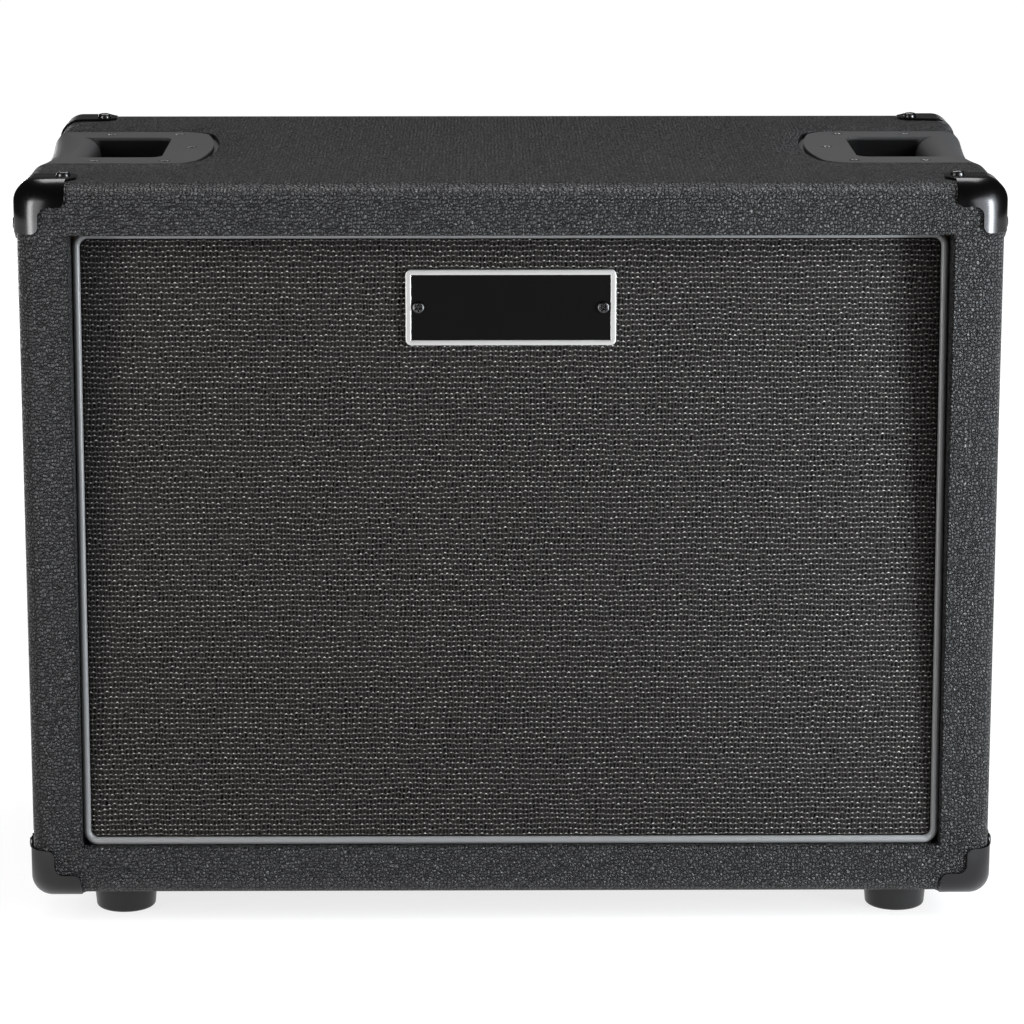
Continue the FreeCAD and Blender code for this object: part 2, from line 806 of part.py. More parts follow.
def badge(frame, cloth):
    """A plate with a raised border on the cloth, and the two screws through it into the frame."""
    plate = doc.addObject("PartDesign::Body", "badge_blank")
    half_width = "badge_width / 2"
    low = "badge_rise - badge_height / 2"
    high = "badge_rise + badge_height / 2"
    pad(plate, rectangle(sketch_on(plate, "badge_outer", "XZ_Plane", "badge_thickness"),
                         half_width, low, high), "badge_thickness")
    body_fillet(plate, "badge_corner_radius", along(Y_AXIS))
    pocket(plate, rectangle(sketch_on(plate, "badge_field", "XZ_Plane", "badge_thickness"),
                            f"{half_width} - badge_border", f"{low} + badge_border",
                            f"{high} - badge_border"), "badge_sink")
    lean(plate)
    screw = pan_screw("badge_screw")
    solids = []
    for side in SIDES.values():
        copy = screw.copy()
        seat = slant(value("badge_sink - badge_thickness"), value("badge_rise"),
                     side * value("badge_screw_spacing / 2"))
        copy.Placement = seat.multiply(Placement(Vector(), Rotation(Z_AXIS, Vector(0, -1, 0))))
        solids.append(copy)
    screws = node("badge_screws", group("badge_screws", solids))
    node("badge_plate", cut("badge_plate", plate, screws))
    node("grille_frame", cut("grille_frame", frame, screws))
    node("grille_cloth", cut("grille_cloth", cloth, screws))


# Baffle and its fixings


def slanted_screws(label, kind, places, into, facing):
    """A group of screws square to the slanted frame, their heads facing in or out of the box."""
    screw = pan_screw(kind)
    solids = []
    for across, up in places:
        copy = screw.copy()
        turn = Placement(Vector(), Rotation(Z_AXIS, Vector(0, facing, 0)))
        copy.Placement = slant(into, up, across).multiply(turn)
        solids.append(copy)
    return node(label, group(label, solids))


def baffle_screws():
    """Screws from behind the baffle into the front lips."""
    rise = value("baffle_rise")
    beside = value("(half_room + half_opening + vinyl_thickness) / 2")
    above = value("(room_height / 2 + half_opening_height + vinyl_thickness) / 2 / cos(grille_tilt)")
    pitch = value("baffle_screw_side_pitch / 2")
    spread = value("baffle_screw_end_pitch / 2")
    places = [(side * beside, rise + level * pitch) for side in SIDES.values() for level in LEVELS.values()]
    places += [(side * spread, rise + level * above) for side in SIDES.values() for level in LEVELS.values()]
    return slanted_screws("baffle_screws", "baffle_screw", places, value("baffle_back"), 1)


def bolt_places():
    """The loudspeaker's bolt circle, with no bolt on the upright line."""
    radius = value("bolt_circle / 2")
    rise = value("baffle_rise")
    step = 2 * math.pi / BOLT_COUNT
    return [(radius * math.cos(step * (number + 1 / 2)), rise + radius * math.sin(step * (number + 1 / 2)))
            for number in range(BOLT_COUNT)]


def speaker_bolts():
    """Bolts through the basket's flange, the gasket and the baffle."""
    head = value("bolt_head / 2")
    rise = value("bolt_rise")
    shank = value("bolt_shank / 2")
    length = value("basket_gauge + gasket_thickness + baffle_thickness")
    bolt = revolved([(0, rise), (head, rise), (head, 0), (shank, 0), (shank, -length), (0, -length)])
    solids = []
    for across, up in bolt_places():
        copy = bolt.copy()
        turn = Placement(Vector(), Rotation(Z_AXIS, Y_AXIS))
        copy.Placement = slant(value("flange_front + basket_gauge"), up, across).multiply(turn)
        solids.append(copy)
    return node("speaker_bolts", group("speaker_bolts", solids))


def tee_nuts():
    """Flanged nuts pressed into the baffle from its front."""
    bore = value("bolt_shank / 2")
    barrel = value("tee_barrel / 2")
    flange = value("tee_flange / 2")
    length = value("tee_barrel_length")
    lip = value("tee_flange_thickness")
    nut = revolved([(bore, -lip), (flange, -lip), (flange, 0), (barrel, 0), (barrel, length), (bore, length)])
    solids = []
    for across, up in bolt_places():
        copy = nut.copy()
        turn = Placement(Vector(), Rotation(Z_AXIS, Y_AXIS))
        copy.Placement = slant(value("baffle_front"), up, across).multiply(turn)
        solids.append(copy)
    return node("tee_nuts", group("tee_nuts", solids))


def baffle(screws, bolts, nuts):
    """The board that carries the loudspeaker, with its round hole."""
    board = doc.addObject("PartDesign::Body", "baffle_blank")
    pad(board, rectangle(sketch_on(board, "baffle_outer", "XZ_Plane"),
                         "baffle_half_width", "-baffle_half_height", "baffle_half_height"),
        "baffle_thickness")
    pocket(board, circle(sketch_on(board, "baffle_mouth", "XZ_Plane"), "0", "0", "baffle_hole / 2"))
    lean(board, "baffle_front", "baffle_rise")
    node("baffle_board", cut("baffle_board", board, screws, bolts, nuts))


# Back panel, cleats and jack


def back_screws():
    """Screws through the back panel into its cleats."""
    screw = pan_screw("back_screw")
    face = value("back_face")
    beside = value("half_room - cleat_width / 2")
    low = value("room_floor + cleat_width / 2")
    high = value("room_ceiling - cleat_width / 2")
    across = value("back_screw_pitch_across")
    rise = value("back_screw_pitch_up / 2")
    places = [(column * across, height) for column in (-1, 0, 1) for height in (low, high)]
    places += [(side * beside, value("cab_middle") + level * rise)
               for side in SIDES.values() for level in LEVELS.values()]
    solids = [set_at(screw, (x, face, z), (0, 1, 0)) for x, z in places]
    return node("back_panel_screws", group("back_panel_screws", solids))


def dish_screws():
    """Four screws through the jack dish's flange."""
    screw = pan_screw("dish_screw")
    face = value("back_face + dish_flange")
    half = value("dish_screw_spacing / 2")
    middle = value("dish_middle")
    solids = [set_at(screw, (side * half, face, middle + level * half), (0, 1, 0))
              for side in SIDES.values() for level in LEVELS.values()]
    return node("jack_dish_screws", group("jack_dish_screws", solids))


def cleats(screws):
    """Four strips inside the back edge that the back panel closes on."""
    depth = ("back_inside - cleat_depth", "back_inside")
    span = ("-half_room", "half_room")
    rise = ("room_floor + cleat_width", "room_ceiling - cleat_width")
    strips = [block("cleat_top", span, depth, ("room_ceiling - cleat_width", "room_ceiling")),
              block("cleat_bottom", span, depth, ("room_floor", "room_floor + cleat_width")),
              block("cleat_left", ("-half_room", "-half_room + cleat_width"), depth, rise),
              block("cleat_right", ("half_room - cleat_width", "half_room"), depth, rise)]
    strip_set = doc.addObject("Part::Compound", "cleat_set")
    strip_set.Links = strips
    node("rear_cleats", cut("rear_cleats", strip_set, screws))


def slanted_edge(edge):
    """A test for edges that run in depth."""
    return abs(edge.Curve.Direction.y) > abs(edge.Curve.Direction.x)


def frustum(name, inset, start, end):
    """The dish's tapered form, some way outside its inner face, between two depths."""
    item = doc.addObject("Part::Wedge", name)
    sizes = {"Ymin": start, "Ymax": end}
    for prefix, half in (("", "dish_floor / 2"), ("2", "dish_mouth / 2")):
        for axis in "XZ":
            sizes[f"{axis}{prefix}min"] = f"-({half} + {inset})"
            sizes[f"{axis}{prefix}max"] = f"{half} + {inset}"
    bind(item, sizes)
    move(item, z="dish_middle")
    return rounded(name + "_rounded", item, ("dish_mouth_radius", slanted_edge))


def jack():
    """The socket: a bored bushing through the dish's floor, its body and two solder tags."""
    shoulder = "jack_bushing_rise + dish_wall"
    tail = f"{shoulder} + jack_length"
    barrel = turned("jack_barrel", "Y", [
        ("0", "jack_bore / 2"), ("0", "jack_bushing / 2"), (shoulder, "jack_bushing / 2"),
        (shoulder, "jack_body / 2"), (tail, "jack_body / 2"), (tail, "0"),
        ("jack_bore_depth", "0"), ("jack_bore_depth", "jack_bore / 2")])
    barrel.Placement = Placement(Vector(), Rotation(Z_AXIS, 180))
    move(barrel, y="back_face - dish_depth + jack_bushing_rise", z="dish_middle")
    rear = "back_face - dish_depth - dish_wall - jack_length"
    tags = []
    for side, sign in SIDES.items():
        middle = f"{sign} * jack_tag_spacing / 2"
        tags.append(block(f"jack_tag_{side}",
                          (f"{middle} - jack_tag_width / 2", f"{middle} + jack_tag_width / 2"),
                          (f"{rear} - jack_tag_length", rear),
                          ("dish_middle - jack_tag_thickness / 2", "dish_middle + jack_tag_thickness / 2")))
    node("jack_socket", fuse("jack_socket", barrel, *tags))


def jack_nut():
    """A hexagon nut on the bushing, against the dish's floor."""
    floor = "back_face - dish_depth"
    blank = doc.addObject("Part::Prism", "nut_blank")
    blank.Polygon = 6
    blank.Placement = Placement(Vector(), Rotation(X_AXIS, -90))
    bind(blank, {"Circumradius": "jack_nut_width / sqrt(3)", "Height": "jack_nut_thickness"})
    move(blank, y=floor, z="dish_middle")
    bore = rod("nut_bore", "jack_bushing / 2", "0", (floor, f"{floor} + jack_nut_thickness"), "dish_middle")
    node("jack_nut", cut("jack_nut", blank, bore))


def back():
    """The back panel with its jack dish, jack and screws."""
    panel_screws = back_screws()
    cleats(panel_screws)
    flange_screws = dish_screws()
    jack()
    jack_nut()
    half = "dish_mouth / 2 + dish_wall + fit_gap"
    panel = block("back_blank", ("-half_room + fit_gap", "half_room - fit_gap"), ("back_inside", "back_face"),
                  ("room_floor + fit_gap", "room_ceiling - fit_gap"))
    hole = block("dish_hole", (f"-({half})", half), ("back_inside - overrun", "back_face + overrun"),
                 (f"dish_middle - ({half})", f"dish_middle + {half}"))
    node("back_panel", cut("back_panel", panel, hole, panel_screws, flange_screws))

    half = "dish_size / 2"
    plate = block("dish_plate", (f"-{half}", half), ("back_face", "back_face + dish_flange"),
                  (f"dish_middle - {half}", f"dish_middle + {half}"))
    plate = rounded("dish_plate_rounded", plate, ("dish_corner_radius", along(Y_AXIS)))
    floor = "back_face - dish_depth"
    cup = frustum("dish_cup", "dish_wall", f"{floor} - dish_wall", "back_face")
    room = frustum("dish_room", "0", floor, "back_face + dish_flange")
    shell = fuse("dish_shell", plate, cup)
    hole = rod("jack_hole", "jack_bushing / 2", "0", (f"{floor} - dish_wall - overrun", floor), "dish_middle")
    node("jack_dish", cut("jack_dish", shell, room, hole, flange_screws))


# Corner protectors


def corner_frame(item):
    """Places a body at the sharp corner of the box, at its front, top and left."""
    return move(item, "-half_width", "-half_depth", "cab_top")


def corner_form(name, inset):
    """A block whose three outer edges are rounded as the box's corner is."""
    solid = block(name + "_block",
                  (f"-half_width - {inset}", "-half_width + corner_depth_leg + overrun"),
                  (f"-half_depth - {inset}", "-half_depth + corner_depth_leg + overrun"),
                  ("cab_top - corner_depth_leg - overrun", f"cab_top + {inset}"))
    tip = Vector(value(f"-half_width - {inset}"), value(f"-half_depth - {inset}"),
                 value(f"cab_top + {inset}"))
    return rounded(name, solid, (f"edge_radius + {inset}",
                                 lambda edge: edge.distToShape(Part.Vertex(tip))[0] < value("fit_gap")))


def near(item, x, y):
    """A test for edges through a point of a front or top outline, given as two formulas."""
    def chosen(edge):
        box = edge.BoundBox
        away = abs(box.Center.x - value(x)) + abs(box.Center[item] - value(y))
        return along((X_AXIS, Y_AXIS, Z_AXIS)[3 - item])(edge) and away < value("fit_gap")
    return chosen


def corner_blank():
    """The space that one protector fills: an L at the front and a tab on the top and on the side."""
    outside = "corner_thickness + overrun"
    front = doc.addObject("PartDesign::Body", "corner_front")
    lip = outline(sketch_on(front, "corner_lip", "XZ_Plane", outside), [
        (f"-({outside})", "-corner_leg"), ("corner_leg_width", "-corner_leg"),
        ("corner_leg_width", "-corner_leg_width"), ("corner_leg", "-corner_leg_width"),
        ("corner_leg", outside), (f"-({outside})", outside)])
    pad(front, lip, f"{outside} + edge_radius")
    body_fillet(front, "corner_leg_inner_radius", near(2, "corner_leg_width", "-corner_leg_width"))
    body_fillet(front, "corner_leg_end_radius", near(2, "corner_leg_width", "-corner_leg"))
    body_fillet(front, "corner_leg_end_radius", near(2, "corner_leg", "-corner_leg_width"))
    corner_frame(front)

    top = doc.addObject("PartDesign::Body", "corner_top")
    tab = outline(sketch_on(top, "corner_tab", "XY_Plane", "-edge_radius"), [
        (f"-({outside})", "edge_radius"), ("corner_leg", "edge_radius"),
        ("corner_tab_reach", "corner_tab_start"), ("corner_tab_reach", "corner_tab_end"),
        ("0", "corner_depth_leg"), (f"-({outside})", "corner_depth_leg")])
    pad(top, tab, f"edge_radius + {outside}").Reversed = False
    doc.recompute()
    body_fillet(top, "corner_tab_radius", near(1, "corner_tab_reach", "corner_tab_end"))
    corner_frame(top)

    side = mirrored("corner_side", top, (1, 0, 1))
    side.Base = Vector(-value("half_width"), -value("half_depth"), value("cab_top"))
    return fuse("corner_blank", front, top, side)


def corners(screws):
    """Eight pressed protectors: one made, the rest its mirror images."""
    outer = corner_form("corner_outer", "corner_thickness")
    inner = corner_form("corner_inner", "0")
    first = common("corner_first", cut("corner_shell", outer, inner), corner_blank())
    for level in LEVELS:
        for end in ENDS:
            for side in SIDES:
                item = first
                label = f"corner_{end}_{level}_{side}"
                if side == "right":
                    item = mirrored(label + "_across", item, (1, 0, 0))
                if end == "back":
                    item = mirrored(label + "_behind", item, (0, 1, 0))
                if level == "bottom":
                    item = mirrored(label + "_below", item, (0, 0, 1))
                    item.Base = Vector(0, 0, value("cab_middle"))
                node(label, cut(label, item, screws))


# Handles


def handle_outline(name, reach, half_width):
    """A tall prism of the top flange's outline, with a bowed end and rounded corners."""
    body = doc.addObject("PartDesign::Body", name)
    bow = f"(({half_width}) * ({half_width}) + handle_end_rise * handle_end_rise) / (2 * handle_end_rise)"
    shoulder = f"{reach} - handle_end_rise"
    flange = outline(sketch_on(body, name + "_flange", "XY_Plane", f"-({reach}) - overrun"), [
        ("-overrun", f"-({half_width})"), (shoulder, f"-({half_width})", bow, 1),
        (shoulder, half_width), ("-overrun", half_width)])
    pad(body, flange, f"{reach} + 2 * overrun").Reversed = False
    doc.recompute()
    middle = value("handle_reach / 2")
    body_fillet(body, "handle_corner_radius",
                lambda edge: along(Z_AXIS)(edge) and edge.BoundBox.Center.x > middle)
    return move(body, "-half_width", "0", "cab_top")


def edge_mirror(name, source):
    """The side flange's form: the top one turned over the cabinet's edge."""
    item = mirrored(name, source, (1, 0, 1))
    item.Base = Vector(-value("half_width"), 0, value("cab_top"))
    return item


def edge_block(name, low, high, half_width):
    """A bar along the top left edge, between two distances from both faces."""
    return block(name, (f"-half_width + ({low})", f"-half_width + ({high})"),
                 (f"-({half_width})", half_width), (f"cab_top - ({high})", f"cab_top - ({low})"))


def at_edge(away):
    """A test for edges along Y that lie at one distance from the top and the side."""
    def chosen(edge):
        corner = Vector(value(f"-half_width + ({away})"), 0, value(f"cab_top - ({away})"))
        middle = edge.BoundBox.Center
        gap = abs(middle.x - corner.x) + abs(middle.z - corner.z)
        return along(Y_AXIS)(edge) and gap < value("fit_gap")
    return chosen


def quarter(name, radius, half_width):
    """A quarter cylinder about the cabinet's top left edge."""
    item = rod(name, radius, "-half_width", (f"-({half_width})", half_width), "cab_top")
    item.Angle = 90
    return item


def end_arc(edge):
    """A test for curved edges."""
    return isinstance(edge.Curve, Part.Circle)


def saddle():
    """The cutter that rounds the grip more than the cabinet's edge, easing off towards its ends."""
    sections = []
    corner = Vector(-value("half_width"), 0, value("cab_top"))
    margin = value("overrun")
    ends = value("handle_width / 2")
    waist = value("grip_saddle_length / 2")
    for along_edge, size in ((-ends, "edge_radius"), (-waist, "grip_outer_radius"),
                             (waist, "grip_outer_radius"), (ends, "edge_radius")):
        radius = value(size)
        inset = radius * (1 - math.sqrt(1 / 2))
        base = corner + Vector(0, along_edge, 0)
        first = base + Vector(radius, 0, 0)
        last = base + Vector(0, 0, -radius)
        beyond = [base + Vector(-margin, 0, -radius), base + Vector(-margin, 0, margin),
                  base + Vector(radius, 0, margin)]
        edges = [Part.Arc(first, base + Vector(inset, 0, -inset), last).toShape()]
        stops = [last] + beyond + [first]
        edges += [Part.LineSegment(*pair).toShape() for pair in zip(stops, stops[1:])]
        sections.append(Part.Wire(edges))
    item = doc.addObject("Part::Feature", "grip_saddle")
    item.Shape = Part.makeLoft(sections, True)
    return item


def one_sided(edge, far):
    """A test for the grip's edges that lie in one outer face but not at the cabinet's edge."""
    inward = edge.BoundBox.Center.x + value("half_width")
    down = value("cab_top") - edge.BoundBox.Center.z
    return abs(inward - far) + down < value("fit_gap") or abs(down - far) + inward < value("fit_gap")


def handles(screws):
    """Both handles, and the space that each takes out of the boards and the vinyl."""
    half = "handle_width / 2"
    under = rounded("flange_seat", edge_block("flange_seat_block", "handle_wall", "2 * handle_reach",
                                              f"{half} + 2 * overrun"),
                    ("edge_radius - handle_wall", at_edge("handle_wall")))
    top = handle_outline("flange_top", "handle_reach", half)
    angle = cut("flange_angle", edge_block("flange_block", "0", "handle_reach", half), under)
    flange = common("flange", angle, top, edge_mirror("flange_side", top))
    cup = rounded("cup", quarter("cup_blank", "pocket_reach + handle_wall", "pocket_width / 2 + handle_wall"),
                  ("pocket_corner_radius + handle_wall", end_arc))
    room = rounded("pocket", quarter("pocket_blank", "pocket_reach", "pocket_width / 2"),
                   ("pocket_corner_radius", end_arc))
    bar = edge_block("grip_block", "0", "grip_size", "grip_length / 2")
    side_edge = value("grip_size")
    grip = rounded("grip", bar, ("grip_inner_radius", at_edge("grip_size")),
                   ("grip_edge_radius", lambda edge: along(Y_AXIS)(edge) and one_sided(edge, side_edge)))
    form = fuse("handle_form", flange, cup, grip)
    left = cut("handle_left", form, cut("pocket_room", room, grip), saddle())

    wide = f"{half} + handle_side_gap"
    reach = "handle_reach + handle_end_gap"
    routed = handle_outline("recess_top", reach, wide)
    plates = cut("recess_angle", edge_block("recess_block", "-overrun", reach, wide), under)
    recess = common("recess", plates, routed, edge_mirror("recess_side", routed))
    well = quarter("cup_well", "pocket_reach + handle_wall + fit_gap",
                   "pocket_width / 2 + handle_wall + fit_gap")
    slot = edge_block("grip_well", "-overrun", "grip_size + fit_gap", "grip_length / 2 + fit_gap")
    cutters = {"left": fuse("handle_well_left", recess, well, slot)}
    cutters["right"] = mirrored("handle_well_right", cutters["left"], (1, 0, 0))
    shapes = {"left": left, "right": mirrored("handle_right", left, (1, 0, 0))}
    for side, shape in shapes.items():
        node(side + "_handle", cut(side + "_handle_drilled", shape, screws))
    return cutters


# Feet


def feet():
    """Four moulded feet with a recess for a washer and a screw."""
    base = "foot_base_diameter / 2"
    recess = "foot_recess_diameter / 2"
    shank = "foot_screw_shank / 2"
    washers = []
    rim = value("foot_washer_diameter / 2")
    sheet_metal = value("foot_washer_thickness")
    disc = revolved([(value(shank), 0), (rim, 0), (rim, sheet_metal), (value(shank), sheet_metal)])
    for place, x, y in foot_places():
        foot = turned("foot_" + place, "Z", [
            ("0", recess), ("0", f"{base} - foot_edge_radius", "foot_edge_radius", 1),
            ("foot_edge_radius", base), ("foot_height", "foot_top_diameter / 2"),
            ("foot_height", shank), ("foot_recess_depth", shank), ("foot_recess_depth", recess)])
        end, side = place.split("_")
        move(foot, f"{SIDES[side]} * (half_width - foot_inset_side)",
             f"{ENDS[end]} * (half_depth - foot_inset_end)")
        node("foot_" + place, foot)
        washer = disc.copy()
        washer.Placement = Placement(Vector(x, y, value("foot_recess_depth") - sheet_metal), Rotation())
        washers.append(washer)
    node("foot_washers", group("foot_washers", washers))


# Loudspeaker


def driver(item):
    """Sets a piece of the loudspeaker behind the baffle."""
    return lean(item, "flange_front", "baffle_rise")


def ring(name, start, end, inner, outer):
    """A turned ring about the loudspeaker's axis."""
    return turned(name, "Y", [(start, inner), (start, outer), (end, outer), (end, inner)])


def basket(bolts):
    """The pressed frame: flange, shoulder, spokes round eight windows, spider ledge and floor."""
    gauge = "basket_gauge"
    body = turned("basket_blank", "Y", [
        ("0", "basket_mouth / 2"), ("0", "basket_diameter / 2"), (gauge, "basket_diameter / 2"),
        (gauge, f"basket_mouth / 2 + {gauge}"),
        (f"basket_shoulder_depth + {gauge}", f"basket_shoulder / 2 + {gauge}"),
        (f"basket_ledge_depth + {gauge}", f"basket_ledge_outer / 2 + {gauge}"),
        (f"basket_ledge_depth + {gauge}", f"basket_ledge_inner / 2 + {gauge}"),
        (f"basket_depth + {gauge}", f"basket_floor / 2 + {gauge}"),
        (f"basket_depth + {gauge}", "basket_bore / 2"), ("basket_depth", "basket_bore / 2"),
        ("basket_depth", "basket_floor / 2"), ("basket_ledge_depth", "basket_ledge_inner / 2"),
        ("basket_ledge_depth", "basket_ledge_outer / 2"),
        ("basket_shoulder_depth", "basket_shoulder / 2")])
    sides = [f"(90 - 180 / {BOLT_COUNT} {sign} basket_window_angle / 2)" for sign in "-+"]
    inner = "basket_window_inner / 2"
    outer = "basket_window_outer / 2"
    window = outline(sketch_on(body, "basket_window", "XZ_Plane"), [
        (f"{inner} * cos{sides[0]}", f"{inner} * sin{sides[0]}"),
        (f"{outer} * cos{sides[0]}", f"{outer} * sin{sides[0]}", outer, 1),
        (f"{outer} * cos{sides[1]}", f"{outer} * sin{sides[1]}"),
        (f"{inner} * cos{sides[1]}", f"{inner} * sin{sides[1]}", inner, -1)])
    opening = pocket(body, window)
    pattern = body.newObject("PartDesign::PolarPattern", "basket_windows")
    pattern.Originals = [opening]
    axis = [part for part in body.Origin.OriginFeatures if part.Role == "Y_Axis"]
    pattern.Axis = (axis[0], [""])
    pattern.Angle = 360
    pattern.Occurrences = BOLT_COUNT
    body.Tip = pattern
    doc.recompute()
    driver(body)
    node("speaker_basket", cut("speaker_basket", body, bolts))


def moving_parts():
    """Cone, dust cap and voice coil, and the surround and spider that hold them."""
    wall = "cone_wall"
    mouth = "cone_mouth_depth"
    cone = turned("speaker_cone", "Y", [
        (f"{mouth} - {wall}", "cone_radius"), (mouth, "cone_radius"),
        ("cone_neck_depth", "cone_neck_radius"), (f"cone_neck_depth - {wall}", "cone_neck_radius")])
    node("speaker_cone", driver(cone))

    roll = "surround_roll_radius"
    rim = "basket_mouth / 2"
    crease = f"(cone_radius + {rim}) / 2"
    surround = turned("cone_surround", "Y", [
        ("0", "surround_lip / 2"), ("0", rim, roll, 1), (f"{mouth} / 2", crease, roll, 1),
        (mouth, "cone_radius"), (f"{mouth} - {wall}", "cone_radius", roll, -1),
        (f"{mouth} / 2 - {wall}", crease, roll, -1), (f"-{wall}", rim), (f"-{wall}", "surround_lip / 2")])
    node("cone_surround", driver(surround))

    edge = "cap_diameter / 2"
    seat = f"{mouth} + cone_slope * (cone_radius - {edge}) - {wall}"
    rise = f"(cap_radius - sqrt(cap_radius * cap_radius - ({edge}) * ({edge})))"
    cap = turned("dust_cap", "Y", [
        (f"{seat} - cap_thickness", edge, "cap_radius", 1), (f"{seat} - cap_thickness - {rise}", "0"),
        (f"{seat} - {rise}", "0", "cap_radius", -1), (seat, edge)])
    node("dust_cap", driver(cap))

    start = "coil_former_start"
    end = "coil_former_end"
    inside = "coil_former_diameter / 2"
    outside = "cone_neck_radius"
    wound = f"{outside} + coil_winding_thickness"
    low = "coil_middle - coil_winding_height / 2"
    high = "coil_middle + coil_winding_height / 2"
    coil = turned("voice_coil", "Y", [
        (start, inside), (start, outside), (low, outside), (low, wound), (high, wound), (high, outside),
        (end, outside), (end, inside)])
    node("voice_coil", driver(coil))

    pitch = f"(basket_ledge_inner / 2 - cone_neck_radius) / {SPIDER_ROLLS + 1}"
    radii = [f"cone_neck_radius + {number + 1} * {pitch}" for number in range(SPIDER_ROLLS + 1)]
    back_line = "basket_ledge_depth"
    front_line = f"{back_line} - spider_thickness"
    turns = [1 if number % 2 else -1 for number in range(SPIDER_ROLLS)]
    behind = [(back_line, "cone_neck_radius")]
    behind += [(back_line, radius, "spider_roll_radius", turn) for radius, turn in zip(radii, turns)]
    behind += [(back_line, radii[-1]), (back_line, "basket_ledge_outer / 2 - fit_gap")]
    ahead = [(front_line, "basket_ledge_outer / 2 - fit_gap")]
    ahead += [(front_line, radius, "spider_roll_radius", -turn)
              for radius, turn in zip(radii[:0:-1], turns[::-1])]
    ahead += [(front_line, radii[0]), (front_line, "cone_neck_radius")]
    node("spider", driver(turned("spider", "Y", behind + ahead)))


def magnet():
    """Front plate, ring magnet, and the yoke whose pole stands in the coil."""
    plate = ring("magnet_front_plate", "plate_front", "plate_back", "front_plate_bore / 2",
                 "front_plate_diameter / 2")
    node("magnet_front_plate", driver(plate))
    core = ring("magnet_ring", "plate_back", "magnet_back", "magnet_bore / 2", "magnet_diameter / 2")
    node("magnet_ring", driver(core))
    rear = "magnet_back + yoke_thickness"
    yoke = turned("magnet_yoke", "Y", [
        ("magnet_back", "pole_diameter / 2"), ("magnet_back", "yoke_diameter / 2"),
        (rear, "yoke_diameter / 2"), (rear, "pole_vent / 2"), ("plate_front", "pole_vent / 2"),
        ("plate_front", "pole_diameter / 2")])
    node("magnet_yoke", driver(yoke))


def gasket(bolts):
    """The soft ring between the basket and the baffle."""
    seal = ring("gasket_blank", "0", "gasket_thickness", "gasket_bore / 2", "basket_diameter / 2")
    lean(seal, "baffle_back", "baffle_rise")
    node("speaker_gasket", cut("speaker_gasket", seal, bolts))


# Wiring


def spoke_seat():
    """A placement on the outside of the lowest spoke: Y points off the spoke and Z towards the magnet."""
    gauge = value("basket_gauge")
    depth = value("basket_ledge_depth - basket_shoulder_depth")
    fall = value("(basket_shoulder - basket_ledge_outer) / 2")
    away = value("terminal_place")
    start = value("basket_shoulder_depth") + gauge
    into = start + depth * (value("basket_shoulder / 2") + gauge - away) / fall
    turn = Rotation(X_AXIS, -math.degrees(math.atan2(depth, fall)))
    seat = slant(value("flange_front") + into, value("baffle_rise") - away)
    return seat.multiply(Placement(Vector(), turn)), into


def terminals():
    """A small board riveted to the lowest spoke, with two metal tags."""
    seat, _ = spoke_seat()
    width = value("terminal_width")
    length = value("terminal_length")
    thickness = value("terminal_thickness")
    solids = [Part.makeBox(width, thickness, length, Vector(-width / 2, 0, -length / 2))]
    tag = value("terminal_tag_spacing / 2 + terminal_tag_width / 2")
    inner = value("jack_tag_spacing / 2 - lead_diameter / 2")
    deep = value("terminal_tag_length")
    for side in SIDES.values():
        corner = Vector(min(side * tag, side * inner), thickness, -deep / 2)
        solids.append(Part.makeBox(tag - inner, value("terminal_tag_thickness"), deep, corner))
    item = doc.addObject("Part::Feature", "speaker_terminals")
    item.Shape = solids[0].multiFuse(solids[1:])
    item.Placement = seat
    return node("speaker_terminals", item)


def tinsel():
    """Two flexible leads from the terminal board to the back of the cone."""
    seat, into = spoke_seat()
    radius = value("tinsel_diameter / 2")
    normal = seat.Rotation.multVec(Y_AXIS)
    square = slant().Rotation.inverted().multVec(normal)
    cone = value("cone_mouth_depth + cone_slope * (cone_radius - terminal_place)")
    reach = (into - cone) / (square.y - value("cone_slope") * square.z) - value("fit_gap")
    solids = []
    for side in SIDES.values():
        rod_shape = Part.makeCylinder(radius, reach, Vector(side * value("terminal_tag_spacing / 2"), 0, 0),
                                      Vector(0, -1, 0))
        rod_shape.Placement = seat
        solids.append(rod_shape)
    node("tinsel_leads", group("tinsel_leads", solids))


def rounded_path(points):
    """Straight runs joined by tangent arcs, each as large as its shorter run allows."""
    edges = []
    start = points[0]
    for before, corner, after in zip(points, points[1:], points[2:]):
        came = (before - corner).normalize()
        goes = (after - corner).normalize()
        take = TURN_SHARE * min((before - corner).Length, (after - corner).Length)
        first = corner + came * take
        last = corner + goes * take
        half = came.getAngle(goes) / 2
        radius = take * math.tan(half)
        inward = (came + goes).normalize()
        middle = corner + inward * (radius / math.sin(half) - radius)
        edges.append(Part.LineSegment(start, first).toShape())
        edges.append(Part.Arc(first, middle, last).toShape())
        start = last
    edges.append(Part.LineSegment(start, points[-1]).toShape())
    return Part.Wire(edges)


